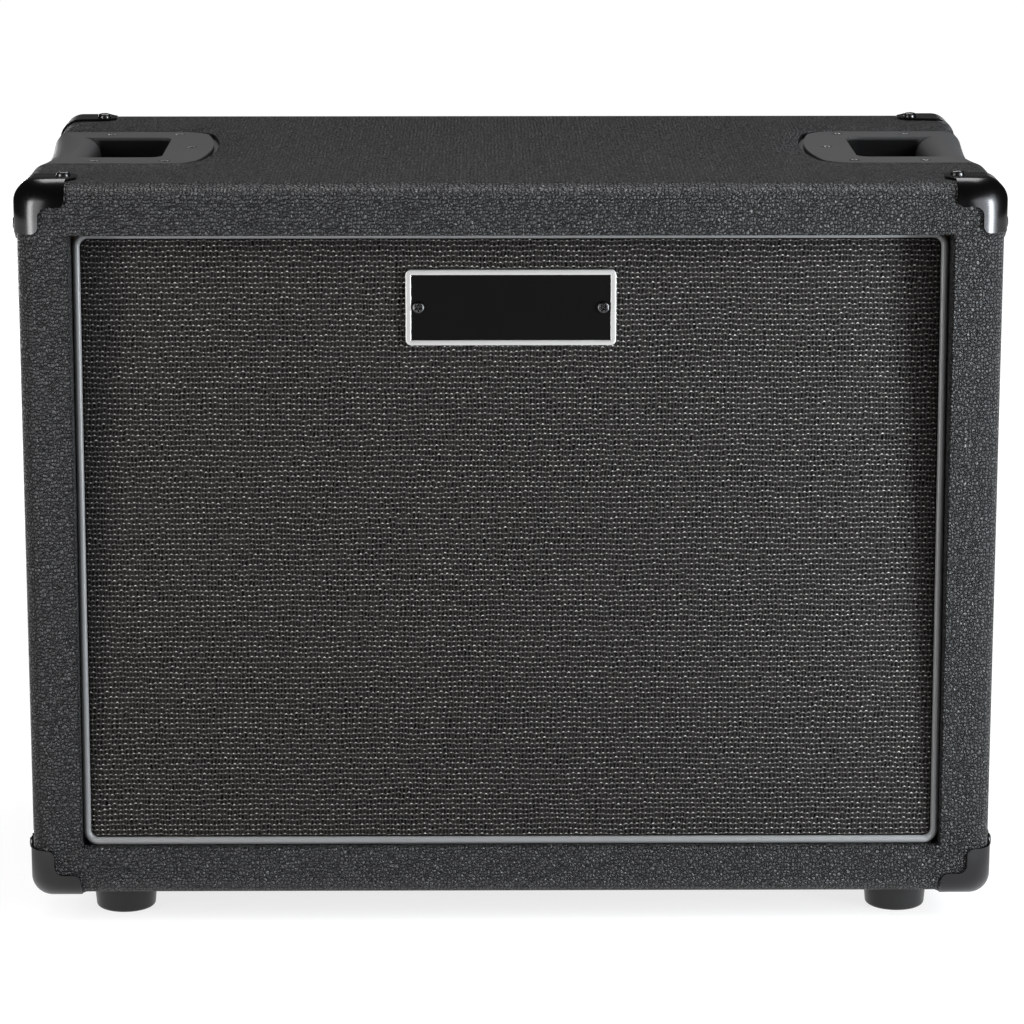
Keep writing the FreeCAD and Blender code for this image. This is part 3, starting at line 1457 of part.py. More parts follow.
def lead_and_clip():
    """Two wires from the jack's tags along the floor of the box to the terminals, under one clip."""
    seat, _ = spoke_seat()
    thickness = value("terminal_thickness + terminal_tag_thickness")
    end = seat.multVec(Vector(0, thickness, 0))
    before_end = seat.multVec(Vector(0, thickness + value("lead_last_run"), 0))
    first = Vector(0, value("back_face - dish_depth - dish_wall - jack_length - jack_tag_length"),
                   value("dish_middle"))
    second = first - Vector(0, value("lead_first_run"), 0)
    floor = value("room_floor + clip_wall + lead_diameter / 2")
    low = [Vector(0, value("lead_floor_back"), floor), Vector(0, value("lead_floor_front"), floor)]
    drop = (second + low[0]) / 2 + Vector(0, value("lead_drop_bow"), 0)
    route = [first, second, drop] + low + [before_end, end]
    radius = value("lead_diameter / 2")
    solids = []
    for side in SIDES.values():
        shift = Vector(side * value("jack_tag_spacing / 2"), 0, 0)
        path = rounded_path([point + shift for point in route])
        section = Part.Wire(Part.makeCircle(radius, first + shift, Y_AXIS))
        solids.append(Part.Solid(path.makePipeShell([section], True, False).Shells[0]))
    lead = node("speaker_lead", group("speaker_lead", solids))
    middle = "(lead_floor_back + lead_floor_front) / 2"
    saddle_block = block("clip_block", ("-clip_width / 2", "clip_width / 2"),
                         (f"{middle} - clip_length / 2", f"{middle} + clip_length / 2"),
                         ("room_floor", "room_floor + 2 * clip_wall + lead_diameter"))
    node("lead_clip", cut("lead_clip", saddle_block, lead))


def check():
    """Stops if any object failed or any sub-part is empty or not valid."""
    doc.recompute()
    for item in doc.Objects:
        if "Invalid" in item.State or "Error" in item.State:
            raise RuntimeError(f"{item.Label} failed: {item.State}")
    for item in nodes:
        if item.Shape.isNull() or not item.Shape.isValid() or not item.Shape.Solids:
            raise RuntimeError(f"{item.Label} has no valid solid")


def write():
    """Writes one file for each sub-part."""
    os.makedirs("parts", exist_ok=True)
    for item in nodes:
        item.Shape.exportStep(f"parts/{item.Label}.step")
    print(len(nodes), "sub-parts")


protector_screws = corner_screws()
grip_screws = handle_screws()
leg_screws = foot_screws()
wells = handles(grip_screws)
wood = boards(wells, (protector_screws, grip_screws, leg_screws))
covering(wood, wells, (protector_screws, leg_screws))
lip_screws = baffle_screws()
front_lips(lip_screws)
rails, weave = grille()
piping()
badge(rails, weave)
bolts_set = speaker_bolts()
baffle(lip_screws, bolts_set, tee_nuts())
back()
corners(protector_screws)
feet()
gasket(bolts_set)
basket(bolts_set)
moving_parts()
magnet()
terminals()
tinsel()
lead_and_clip()
check()
write()
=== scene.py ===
"""Dresses the packed speaker cabinet: its covering, grille, badge, fasteners and finishes, lit in a studio.

Metres, +Z up, and the grille faces -Y, as in the packed model. The cloth, the piping and the badge lean
back together, so they share one slope whose depth runs into the box at a right angle to the cloth.
"""

import json
import logging
import math
from collections.abc import Callable, Sequence
from dataclasses import dataclass
from enum import Enum
from itertools import product
from typing import Any, Optional, Union

import bmesh
import bpy
import numpy as np
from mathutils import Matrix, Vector


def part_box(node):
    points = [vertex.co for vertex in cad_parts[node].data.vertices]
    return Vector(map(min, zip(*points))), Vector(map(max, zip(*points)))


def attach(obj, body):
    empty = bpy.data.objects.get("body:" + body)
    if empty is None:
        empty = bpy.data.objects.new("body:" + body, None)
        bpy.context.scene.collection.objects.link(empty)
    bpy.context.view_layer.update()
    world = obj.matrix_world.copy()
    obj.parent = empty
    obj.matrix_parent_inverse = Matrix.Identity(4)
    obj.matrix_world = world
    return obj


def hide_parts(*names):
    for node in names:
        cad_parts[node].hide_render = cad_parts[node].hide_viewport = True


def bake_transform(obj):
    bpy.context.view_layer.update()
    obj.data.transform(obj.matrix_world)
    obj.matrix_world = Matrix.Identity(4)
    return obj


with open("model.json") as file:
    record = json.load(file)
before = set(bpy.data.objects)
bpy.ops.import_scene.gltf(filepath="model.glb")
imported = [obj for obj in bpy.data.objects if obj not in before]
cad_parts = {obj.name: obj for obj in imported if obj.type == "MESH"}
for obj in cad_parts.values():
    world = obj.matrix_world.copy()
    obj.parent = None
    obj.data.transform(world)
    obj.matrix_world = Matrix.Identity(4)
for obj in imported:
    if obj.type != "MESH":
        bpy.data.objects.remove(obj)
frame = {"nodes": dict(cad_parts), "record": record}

log = logging.getLogger("speaker_cabinet")

Colour = tuple[float, float, float]
Triple = tuple[float, float, float]
Span = tuple[float, float]
Value = Union["Link", float, tuple[float, ...]]
Key = Union[str, int]
Placed = tuple[np.ndarray, np.ndarray]

MM = 0.001
QUARTER_TURN = math.pi / 2
FULL_TURN = 2 * math.pi
MERGE_DISTANCE = 1e-6
SHARP_ANGLE = 38.0
FLAT_MAP = "flat"
MIX_FIRST = 6
MIX_SECOND = 7
MIX_RESULT = 2
WHITE: Colour = (1.0, 1.0, 1.0)
SIDEWAYS: Triple = (1.0, 0.0, 0.0)
BACKWARDS: Triple = (0.0, 1.0, 0.0)
UPWARDS: Triple = (0.0, 0.0, 1.0)
GRILLE_RECESS = 13.8 * MM
CABINET = "cabinet"


class Sense(Enum):
    """Which way round a grid's faces are wound."""

    FORWARD = 1
    REVERSED = -1


class Head(Enum):
    """How a screw's head sits: standing on the surface or flush with it."""

    PAN = "pan"
    FLUSH = "flush"


class Draw(Enum):
    """What a random number in the weave decides, by the seed that keeps it apart from the others."""

    SHIFT = 3.0
    BRIGHTNESS = 5.0
    SIZE = 9.0
    LIFT = 13.0
    SLOT = 21.0


def grey(level: float, cast: float = 0.0) -> Colour:
    """A grey of that level, with that much more blue."""
    return level, level, level + cast


# Shader expressions


def operation(name: str, meaning: str, reflected: bool = False) -> Callable[..., "Link"]:
    """A method of a shader value that adds a Math node.

    Args:
        name: The node's operation.
        meaning: What the result is, which becomes the method's docstring.
        reflected: Whether the other value comes before this one.

    Returns:
        The method, which takes the other value where the operation has one.
    """
    def method(this: "Link", *others: Value) -> "Link":
        """Adds the node to this value's recipe."""
        values = (*others, this) if reflected else (this, *others)
        return this.recipe.add("Math", {"operation": name}, dict(enumerate(values)))

    method.__doc__ = meaning
    return method


class Link:
    """A shader value that takes part in Python expressions, each of which adds its Math node."""

    def __init__(self, recipe: "Recipe", socket: bpy.types.NodeSocket) -> None:
        """Keeps the recipe that the value belongs to, and its socket."""
        self.recipe = recipe
        self.socket = socket

    __add__ = operation("ADD", "The sum of the two.")
    __radd__ = operation("ADD", "The sum of the two.", reflected=True)
    __sub__ = operation("SUBTRACT", "This less the other.")
    __rsub__ = operation("SUBTRACT", "The other less this.", reflected=True)
    __mul__ = operation("MULTIPLY", "The product of the two.")
    __rmul__ = operation("MULTIPLY", "The product of the two.", reflected=True)
    __truediv__ = operation("DIVIDE", "This divided by the other.")
    __pow__ = operation("POWER", "This raised to the other.")
    __abs__ = operation("ABSOLUTE", "The size of this without its sign.")
    floor = operation("FLOOR", "The whole part, rounded down.")
    fraction = operation("FRACT", "What is left above the whole part.")
    sine = operation("SINE", "The sine of this angle.")
    most = operation("MAXIMUM", "The larger of the two.")
    least = operation("MINIMUM", "The smaller of the two.")


class Recipe:
    """A material or a world in the making, and the nodes that it is made of."""

    def __init__(self, owner: Union[bpy.types.Material, bpy.types.World]) -> None:
        """Empties the owner's node tree."""
        owner.use_nodes = True
        self.tree = owner.node_tree
        self.tree.nodes.clear()

    def node(self, kind: str, settings: dict[str, Any], inputs: dict[Key, Value]) -> bpy.types.Node:
        """Adds one node.

        Args:
            kind: The node's type without its common prefix.
            settings: Properties of the node, which are set first.
            inputs: Values or links for the sockets, by name or number.

        Returns:
            The node.
        """
        node = self.tree.nodes.new("ShaderNode" + kind)
        for key, setting in settings.items():
            setattr(node, key, setting)
        for key, entry in inputs.items():
            socket = node.inputs[key]
            if isinstance(entry, Link):
                self.tree.links.new(entry.socket, socket)
            elif socket.type == "RGBA":
                socket.default_value = (*entry, 1.0)
            else:
                socket.default_value = entry
        return node

    def add(self, kind: str, settings: dict[str, Any], inputs: dict[Key, Value], output: Key = 0) -> Link:
        """Adds one node and takes the chosen output for an expression."""
        return Link(self, self.node(kind, settings, inputs).outputs[output])

    def place(self) -> Link:
        """The point on the surface, in the model's own frame."""
        return self.add("TexCoord", {}, {}, "Object")

    def parts(self, vector: Link) -> list[Link]:
        """The three parts of a vector."""
        return [Link(self, socket) for socket in self.node("SeparateXYZ", {}, {0: vector}).outputs]

    def shaken(self, vector: Link, scale: float, amount: float, detail: float = 2.0) -> Link:
        """A vector moved about by smooth noise.

        Args:
            vector: The vector before it is moved.
            scale: Waves of the noise to the metre.
            amount: The whole width of the movement, half of it to each side.
            detail: How many finer layers the noise has.

        Returns:
            The moved vector.
        """
        shake = self.add("TexNoise", {}, {"Vector": vector, "Scale": scale, "Detail": detail}, "Color")
        centred = self.add("VectorMath", {"operation": "SUBTRACT"}, {0: shake, 1: grey(0.5)})
        small = self.add("VectorMath", {"operation": "SCALE"}, {0: centred, "Scale": amount})
        return self.add("VectorMath", {"operation": "ADD"}, {0: vector, 1: small})

    def noise(self, vector: Link, scale: float, detail: float = 3.0) -> Link:
        """Smooth noise from 0 to 1 about a half."""
        return self.add("TexNoise", {}, {"Vector": vector, "Scale": scale, "Detail": detail}, "Fac")

    def drawn(self, vector: Link, waves: Triple, detail: float, scale: float = 1.0) -> Link:
        """Smooth noise with its own number of waves in each direction."""
        stretched = self.add("VectorMath", {"operation": "MULTIPLY"}, {0: vector, 1: waves})
        return self.noise(stretched, scale, detail)

    def cells(self, vector: Link, scale: float, looseness: float) -> Link:
        """Distance to the edge of the cell round each point, in cells, which are even at no looseness."""
        return self.add("TexVoronoi", {"feature": "DISTANCE_TO_EDGE"},
                        {"Vector": vector, "Scale": scale, "Randomness": looseness}, "Distance")

    def chance(self, draw: Draw, row: Link, column: Optional[Link] = None) -> Link:
        """An even random number for each row, or for each column of each row."""
        place = {0: row, 1: draw.value} if column is None else {0: row, 1: column, 2: draw.value}
        return self.add("TexWhiteNoise", {"noise_dimensions": "3D"},
                        {"Vector": self.add("CombineXYZ", {}, place)}, "Value")

    def rise(self, value: Value, low: float, high: float) -> Link:
        """A smooth step from 0 at low to 1 at high."""
        return self.add("MapRange", {"interpolation_type": "SMOOTHSTEP"},
                        {"Value": value, "From Min": low, "From Max": high})

    def fall(self, value: Value, low: float, high: float) -> Link:
        """A smooth step from 1 at low to 0 at high."""
        return 1.0 - self.rise(value, low, high)

    def mix(self, share: Value, first: Value, second: Value) -> Link:
        """A colour between two, by that share of the second, on the Mix node's sockets for colours."""
        return self.add("Mix", {"data_type": "RGBA"},
                        {0: share, MIX_FIRST: first, MIX_SECOND: second}, MIX_RESULT)

    def bump(self, height: Link, depth: float) -> Link:
        """A normal from a height of 0 to 1 that stands for that depth."""
        return self.add("Bump", {}, {"Height": height, "Distance": depth, "Strength": 1.0})

    def shader(self, inputs: dict[Key, Value]) -> Link:
        """The common surface shader with these values and links."""
        return self.add("BsdfPrincipled", {}, inputs)


def between(span: Span, share: Link) -> Link:
    """The first number of a span, and that share of its second on top."""
    return span[0] + span[1] * share


# Finishes


@dataclass(frozen=True)
class Finish:
    """A finish that some of the cabinet's pieces share."""

    name: str

    def material(self) -> bpy.types.Material:
        """The finish as a new material."""
        skin = bpy.data.materials.new(self.name)
        recipe = Recipe(skin)
        recipe.node("OutputMaterial", {}, {"Surface": self.surface(recipe)})
        return skin

    def surface(self, recipe: Recipe) -> Link:
        """The finish's shader.

        Args:
            recipe: The material in the making, which takes the nodes.

        Returns:
            The shader, for the material's output.
        """
        raise NotImplementedError


@dataclass(frozen=True)
class PebbledVinyl(Finish):
    """Leather-grained vinyl: glossy pebbles between dull black creases, mitred at the front's corners.

    The first four sizes place the seams: where they start from the middle, across and up, the height of
    the middle, and the depth of the front.
    """

    seam_start: float
    seam_top: float
    middle: float
    front: float
    crease_shade_colour: Colour = grey(0.0004)
    pebble_colour: Colour = (0.0330, 0.0332, 0.0344)
    seam_colour: Colour = (0.120, 0.110, 0.095)
    pebble: float = 2.0 * MM
    looseness: float = 0.7
    shake: float = 1.0
    shake_waves: float = 0.8
    dome: float = 0.48
    dome_power: float = 0.7
    fine_waves: float = 3.0
    fine_height: float = 0.10
    broad_scale: float = 14.0
    flank: float = 2.2
    flank_power: float = 0.6
    gloss_share: Span = (0.25, 0.75)
    roughness: float = 0.34
    fine_spread: float = 0.10
    broad_spread: float = 0.06
    specular: float = 0.42
    relief: float = 1.45 * MM
    seam_width: float = 0.34 * MM
    seam_core: float = 0.4
    seam_scale: float = 160.0
    seam_share: float = 0.35
    seam_depth: float = 0.8
    seam_margin: float = 0.2 * MM
    seam_reach: float = 0.6 * MM

    def surface(self, recipe: Recipe) -> Link:
        """Each pebble is a loose cell that swells to a dome by a power of the distance from its crease.

        Colour and gloss come up on the dome's flank, so that the creases stay narrow.
        """
        place = recipe.place()
        fine = recipe.noise(place, self.fine_waves / self.pebble, detail=2.0)
        broad = recipe.noise(place, self.broad_scale)
        loose = recipe.shaken(place, self.shake_waves / self.pebble, self.shake * self.pebble)
        swell = (recipe.cells(loose, 1.0 / self.pebble, self.looseness) / self.dome).least(1.0)
        height = swell ** self.dome_power + self.fine_height * fine
        seam = self.seam(recipe, place)
        raised = (swell * self.flank).least(1.0) ** self.flank_power
        # painted shade: the creases fall to a near black colour and a shader without reflection, for the
        # shade deep in the grain
        grained = recipe.mix(raised, self.crease_shade_colour, self.pebble_colour)
        creases = recipe.shader({
            "Base Color": self.crease_shade_colour,
            "Roughness": 1.0,
            "Specular IOR Level": 0.0,
        })
        pebbles = recipe.shader({
            "Base Color": recipe.mix(seam * self.seam_share, grained, self.seam_colour),
            "Roughness": self.roughness + self.fine_spread * fine + self.broad_spread * broad,
            "Specular IOR Level": self.specular,
            "Normal": recipe.bump(height - self.seam_depth * seam, self.relief),
        })
        # the crease shader's share is painted shade in the grain
        share = between(self.gloss_share, raised)
        return recipe.add("MixShader", {}, {0: share, 1: creases, 2: pebbles})

    def seam(self, recipe: Recipe, place: Link) -> Link:
        """A thin line where the front's strips meet: as far in from the side as from the top or bottom.

        Args:
            recipe: The material in the making.
            place: The point on the surface.

        Returns:
            1 on the line and 0 away from it.
        """
        x, y, z = recipe.parts(place)
        aside = abs(x) - self.seam_start
        above = abs(z - self.middle) - self.seam_top
        wander = (recipe.noise(place, self.seam_scale) - 0.5) * (2.0 * self.seam_width)
        line = recipe.fall(abs(aside - above + wander), self.seam_core * self.seam_width, self.seam_width)
        inside = recipe.rise(aside, -self.seam_margin, self.seam_margin)
        return line * inside * recipe.fall(y, self.front + self.seam_margin, self.front + self.seam_reach)


@dataclass(frozen=True)
class SpeckledWeave(Finish):
    """Dark open weave crossed by wavy rows of silver stitches, on the cloth's own flat map in metres.

    Sizes within a row or a stitch are shares of it, and waves are counted to the metre.
    """

    thread_colour: Colour = (0.0240, 0.0222, 0.0210)
    slot_shade_colour: Colour = grey(0.0003)
    silver_colour: Colour = (0.56, 0.54, 0.51)
    row: float = 2.93 * MM
    stitch: float = 2.93 * MM
    slow_waves: Triple = (22.0, 30.0, 1.0)
    quick_waves: Triple = (150.0, 60.0, 1.0)
    fine_waves: Triple = (900.0, 1500.0, 1.0)
    slow_sway: float = 2.2 * MM
    quick_sway: float = 1.32 * MM
    column_sway: float = 1.2
    row_shift: float = 7.0
    bow: Span = (0.03, 0.11)
    lift: float = 0.30
    speck_length: Span = (0.12, 0.16)
    speck_height: float = 0.115
    speck_fuzz: float = 0.5
    speck_edge: Span = (0.50, 1.20)
    speck_shine: Span = (0.23, 0.56)
    shine_power: float = 1.6
    chain_edge: Span = (0.04, 0.17)
    chain_gaps: Span = (0.25, 0.75)
    chain_shine: float = 0.13
    slots: float = 1.5
    slot_sway: float = 1.6
    slot_depth: Span = (0.45, 0.55)
    slot_fuzz: float = 0.3
    slot_edge: Span = (0.20, 0.38)
    slot_clearance: Span = (0.09, 0.19)
    chain_height: float = 0.45
    thread_height: float = 0.40
    speck_rise: float = 0.35
    roughness: float = 0.82
    speck_gloss: float = 0.42
    fine_spread: float = 0.12
    specular: float = 0.03
    relief: float = 0.30 * MM

    def surface(self, recipe: Recipe) -> Link:
        """Wavy silver rows run over dark threads with slots between them, and no two stitches are alike."""
        flat = recipe.add("UVMap", {"uv_map": FLAT_MAP}, {})
        u, v, _ = recipe.parts(flat)
        slow = recipe.drawn(flat, self.slow_waves, detail=1.0) - 0.5
        quick = recipe.drawn(flat, self.quick_waves, detail=1.0) - 0.5
        fine = recipe.drawn(flat, self.fine_waves, detail=2.0)
        rows = (v + slow * self.slow_sway + quick * self.quick_sway) / self.row
        line = rows.floor()
        up = rows.fraction() - 0.5
        columns = u / self.stitch + slow * self.column_sway
        stitches = columns + recipe.chance(Draw.SHIFT, line) * self.row_shift
        count = stitches.floor()
        along = stitches.fraction() - 0.5
        bright, size, lift = (recipe.chance(draw, line, count)
                              for draw in (Draw.BRIGHTNESS, Draw.SIZE, Draw.LIFT))

        wave = (stitches * FULL_TURN - QUARTER_TURN).sine()
        level = up - between(self.bow, size) * wave - self.lift * (lift - 0.5)
        length = along / between(self.speck_length, size)
        speck = (length ** 2.0 + (level / self.speck_height) ** 2.0) ** 0.5
        silver = recipe.fall(speck + self.speck_fuzz * (fine - 0.5), *self.speck_edge)
        chain = recipe.fall(abs(level), *self.chain_edge) * recipe.rise(fine, *self.chain_gaps)
        shine = silver * between(self.speck_shine, bright ** self.shine_power) + self.chain_shine * chain

        # painted shade: the slots between threads turn near black, for the shade seen through the gaps in
        # the weave
        gaps = columns * self.slots + quick * self.slot_sway
        deep = between(self.slot_depth, recipe.chance(Draw.SLOT, line, gaps.floor()))
        gap = abs(gaps.fraction() - 0.5) + self.slot_fuzz * (fine - 0.5)
        slot = recipe.fall(gap, *self.slot_edge) * recipe.rise(abs(level), *self.slot_clearance) * deep
        dark = recipe.mix(slot, self.thread_colour, self.slot_shade_colour)
        height = self.chain_height * chain + self.thread_height * (1.0 - slot) + self.speck_rise * silver
        return recipe.shader({
            "Base Color": recipe.mix(shine, dark, self.silver_colour),
            "Roughness": self.roughness - self.speck_gloss * silver + self.fine_spread * (fine - 0.5),
            "Specular IOR Level": self.specular,
            "Normal": recipe.bump(height, self.relief),
        })


@dataclass(frozen=True)
class Moulded(Finish):
    """A moulded or coated surface: a fine even texture over a faintly clouded colour."""

    colour: Colour
    clouded: Colour
    grain: float
    relief: float
    roughness: float
    spread: float
    metallic: float = 0.0
    specular: float = 0.5
    broad_scale: float = 22.0
    broad_share: float = 0.65

    def surface(self, recipe: Recipe) -> Link:
        """Fine noise gives the texture, and broad noise clouds the colour and the gloss."""
        place = recipe.place()
        fine = recipe.noise(place, 1.0 / self.grain, detail=2.0)
        broad = recipe.noise(place, self.broad_scale)
        cloud = self.broad_share * broad + (1.0 - self.broad_share) * fine
        colour, dulling = self.tint(recipe, place, cloud)
        return recipe.shader({
            "Base Color": colour,
            "Roughness": self.roughness + self.spread * (broad + fine - 1.0) + dulling,
            "Metallic": self.metallic,
            "Specular IOR Level": self.specular,
            "Normal": recipe.bump(self.height(recipe, place, fine), 1.0),
        })

    def tint(self, recipe: Recipe, place: Link, cloud: Link) -> tuple[Link, Value]:
        """The clouded colour, and how much is added to the roughness."""
        return recipe.mix(cloud, self.colour, self.clouded), 0.0

    def height(self, recipe: Recipe, place: Link, fine: Link) -> Link:
        """The height of the fine texture in metres."""
        return fine * self.relief


@dataclass(frozen=True, kw_only=True)
class PocketShaded(Moulded):
    """A moulding that turns black where it dips below the box's faces, as a handle's pocket does."""

    side: float
    top: float
    pocket_shade: Colour = grey(0.0010)
    grip: float = 30.0 * MM
    soft: float = 4.0 * MM
    rim: float = 0.3 * MM
    dark: float = 2.5 * MM
    dulling: float = 0.4

    def tint(self, recipe: Recipe, place: Link, cloud: Link) -> tuple[Link, Value]:
        """The pocket lies below both faces and further than the grip from one of them.

        Args:
            recipe: The material in the making.
            place: The point on the surface.
            cloud: The share of the clouded colour.

        Returns:
            The colour, and how much is added to the roughness.
        """
        x, _, z = recipe.parts(place)
        down, inward = self.top - z, self.side - abs(x)
        beyond = recipe.rise(down.most(inward), self.grip - self.soft, self.grip)
        # painted shade: inside the pocket the colour turns black and the gloss dulls, for the shade that
        # falls there
        within = recipe.rise(down.least(inward), self.rim, self.dark) * beyond
        skin, _ = super().tint(recipe, place, cloud)
        return recipe.mix(within, skin, self.pocket_shade), self.dulling * within


@dataclass(frozen=True, kw_only=True)
class Pressed(Moulded):
    """Lacquered sheet that is pressed round the box's corners, a little fuller than the box's edges."""

    half: Sequence[float]
    middle: float
    bend: float = 22.0 * MM
    fullness: float = 0.6

    def height(self, recipe: Recipe, place: Link, fine: Link) -> Link:
        """The sheet falls away by the square of how far it is inside the bend, for each of three faces.

        Args:
            recipe: The material in the making.
            place: The point on the surface.
            fine: The fine texture.

        Returns:
            The height in metres.
        """
        x, y, z = recipe.parts(place)
        away = (abs(x), abs(y), abs(z - self.middle))
        aside, before, above = ((self.bend - (size - part)).most(0.0) ** 2.0
                                for size, part in zip(self.half, away))
        return fine * self.relief - (aside + before + above) * (self.fullness / (2.0 * self.bend))


@dataclass(frozen=True)
class Brushed(Finish):
    """Bare or plated metal with fine marks, drawn out where a direction has fewer waves to the metre."""

    colour: Colour
    dulled: Colour
    waves: Triple
    roughness: float
    relief: float = 0.006 * MM
    broad_scale: float = 60.0
    marks_spread: float = 0.16
    broad_spread: float = 0.12

    def surface(self, recipe: Recipe) -> Link:
        """Noise with its own waves in each direction makes the marks."""
        place = recipe.place()
        marks = recipe.drawn(place, self.waves, detail=3.0)
        broad = recipe.noise(place, self.broad_scale)
        return recipe.shader({
            "Base Color": recipe.mix(0.5 * marks + 0.5 * broad, self.colour, self.dulled),
            "Roughness": (self.roughness + self.marks_spread * (marks - 0.5)
                          + self.broad_spread * (broad - 0.5)),
            "Metallic": 1.0,
            "Normal": recipe.bump(marks, self.relief),
        })


@dataclass(frozen=True)
class Plywood(Finish):
    """Birch plywood: pale face grain with darker lines, and glue lines where the plies show at an edge."""

    pale: Colour = (0.56, 0.39, 0.22)
    dark: Colour = (0.33, 0.20, 0.10)
    glue: Colour = (0.16, 0.09, 0.045)
    sealed_black_and_gap_shade: Colour = grey(0.004)
    grain_waves: Triple = (5.0, 90.0, 90.0)
    pore_waves: Triple = (60.0, 1400.0, 1400.0)
    ply: float = 1.4 * MM
    ply_wobble: float = 0.3
    glue_edge: Span = (0.03, 0.10)
    glue_share: float = 0.35
    dark_edge: Span = (0.35, 0.70)
    roughness: float = 0.58
    pore_spread: float = 0.18
    relief: float = 0.06 * MM
    recess_aside: float = 164.0 * MM
    recess_above: float = 318.0 * MM
    recess_half_width: float = 69.0 * MM
    back_rim: float = 128.0 * MM

    def surface(self, recipe: Recipe) -> Link:
        """Drawn-out noise makes the grain, a saw-tooth the plies, and cut-outs and back rim are black."""
        place = recipe.place()
        grain = recipe.drawn(place, self.grain_waves, detail=4.0)
        pores = recipe.drawn(place, self.pore_waves, detail=2.0)
        x, y, z = recipe.parts(place)
        layer = (z / self.ply + self.ply_wobble * grain).fraction()
        line = recipe.fall(abs(layer - 0.5), *self.glue_edge)
        wood = recipe.mix(recipe.rise(grain, *self.dark_edge), self.pale, self.dark)
        bare = recipe.mix(self.glue_share * line, wood, self.glue)
        # the handle cut-outs turn black: partly sealing paint, partly painted shade for the dark gap round
        # the handle's end; the back rim takes only the sealing paint
        aside = recipe.rise(abs(x), self.recess_aside, self.recess_aside + MM)
        above = recipe.rise(z, self.recess_above, self.recess_above + MM)
        within = recipe.fall(abs(y), self.recess_half_width, self.recess_half_width + MM)
        rim = recipe.rise(y, self.back_rim, self.back_rim + MM)
        return recipe.shader({
            "Base Color": recipe.mix((aside * above * within).most(rim), bare, self.sealed_black_and_gap_shade),
            "Roughness": self.roughness + self.pore_spread * (pores - 0.5),
            "Normal": recipe.bump(pores, self.relief),
        })


@dataclass(frozen=True)
class Fibrous(Finish):
    """Pressed pulp, doped cloth, cork or hook tape: short fibres that cross at random."""

    colour: Colour
    fibre: Colour
    length: float
    relief: float
    roughness: float
    shake_waves: float = 0.5
    lengthwise: Triple = (0.4, 4.0, 1.5)
    crosswise: Triple = (4.0, 1.5, 0.4)
    edge: Span = (0.45, 0.75)
    spread: float = 0.15
    specular: float = 0.25

    def surface(self, recipe: Recipe) -> Link:
        """Two sheets of drawn-out noise cross each other, and the stronger one shows."""
        place = recipe.shaken(recipe.place(), self.shake_waves / self.length, self.length)
        first, second = (recipe.drawn(place, way, detail=2.0, scale=1.0 / self.length)
                         for way in (self.lengthwise, self.crosswise))
        fibres = recipe.rise(first.most(second), *self.edge)
        return recipe.shader({
            "Base Color": recipe.mix(fibres, self.colour, self.fibre),
            "Roughness": self.roughness + self.spread * (fibres - 0.5),
            "Specular IOR Level": self.specular,
            "Normal": recipe.bump(fibres, self.relief),
        })


@dataclass(frozen=True)
class Wound(Finish):
    """Wire or braid laid side by side, seen as fine bright ridges."""

    ridge: Colour
    valley_shade: Colour
    pitch: float
    shake: float = 0.4
    shake_scale: float = 90.0
    depth: float = 0.3
    roughness: Span = (0.30, 0.25)
    wear_scale: float = 300.0

    def surface(self, recipe: Recipe) -> Link:
        """A sine across the winding gives each wire its ridge."""
        place = recipe.place()
        _, y, _ = recipe.parts(recipe.shaken(place, self.shake_scale, self.shake * self.pitch))
        ridge = (y * (FULL_TURN / self.pitch)).sine() * 0.5 + 0.5
        return recipe.shader({
            "Base Color": recipe.mix(ridge, self.valley_shade, self.ridge),
            "Roughness": between(self.roughness, recipe.noise(place, self.wear_scale)),
            "Metallic": 1.0,
            "Normal": recipe.bump(ridge, self.depth * self.pitch),
        })


# Surfaces


@dataclass
class Patch:
    """A grid of points, by rows and columns, joined into four-sided faces.

    The last column joins the first where the grid is closed. Faces can be left out by a mask, take one of
    the piece's skins by row, and carry a flat map.
    """

    points: np.ndarray
    closed: bool = True
    sense: Sense = Sense.FORWARD
    kept: Optional[np.ndarray] = None
    skin: Optional[np.ndarray] = None
    flat: Optional[np.ndarray] = None

    def faces(self) -> np.ndarray:
        """Corner numbers of each face: a point, its neighbour in the row, and the two of the next row."""
        rows, columns = self.points.shape[:2]
        across = np.arange(columns if self.closed else columns - 1)
        start = np.arange(rows - 1)[:, None] * columns
        near = start + across
        far = start + (across + 1) % columns
        corners = np.stack([near, far, far + columns, near + columns], axis=-1)
        return corners if self.sense is Sense.FORWARD else corners[..., ::-1]

    def shown(self) -> np.ndarray:
        """Which faces are kept, as a mask over rows and columns."""
        return np.ones(self.faces().shape[:2], bool) if self.kept is None else self.kept

    def skins(self) -> np.ndarray:
        """The skin of each kept face."""
        shape = self.faces().shape[:2]
        rows = np.zeros(shape[0], int) if self.skin is None else self.skin
        return np.broadcast_to(rows[:, None], shape)[self.shown()]


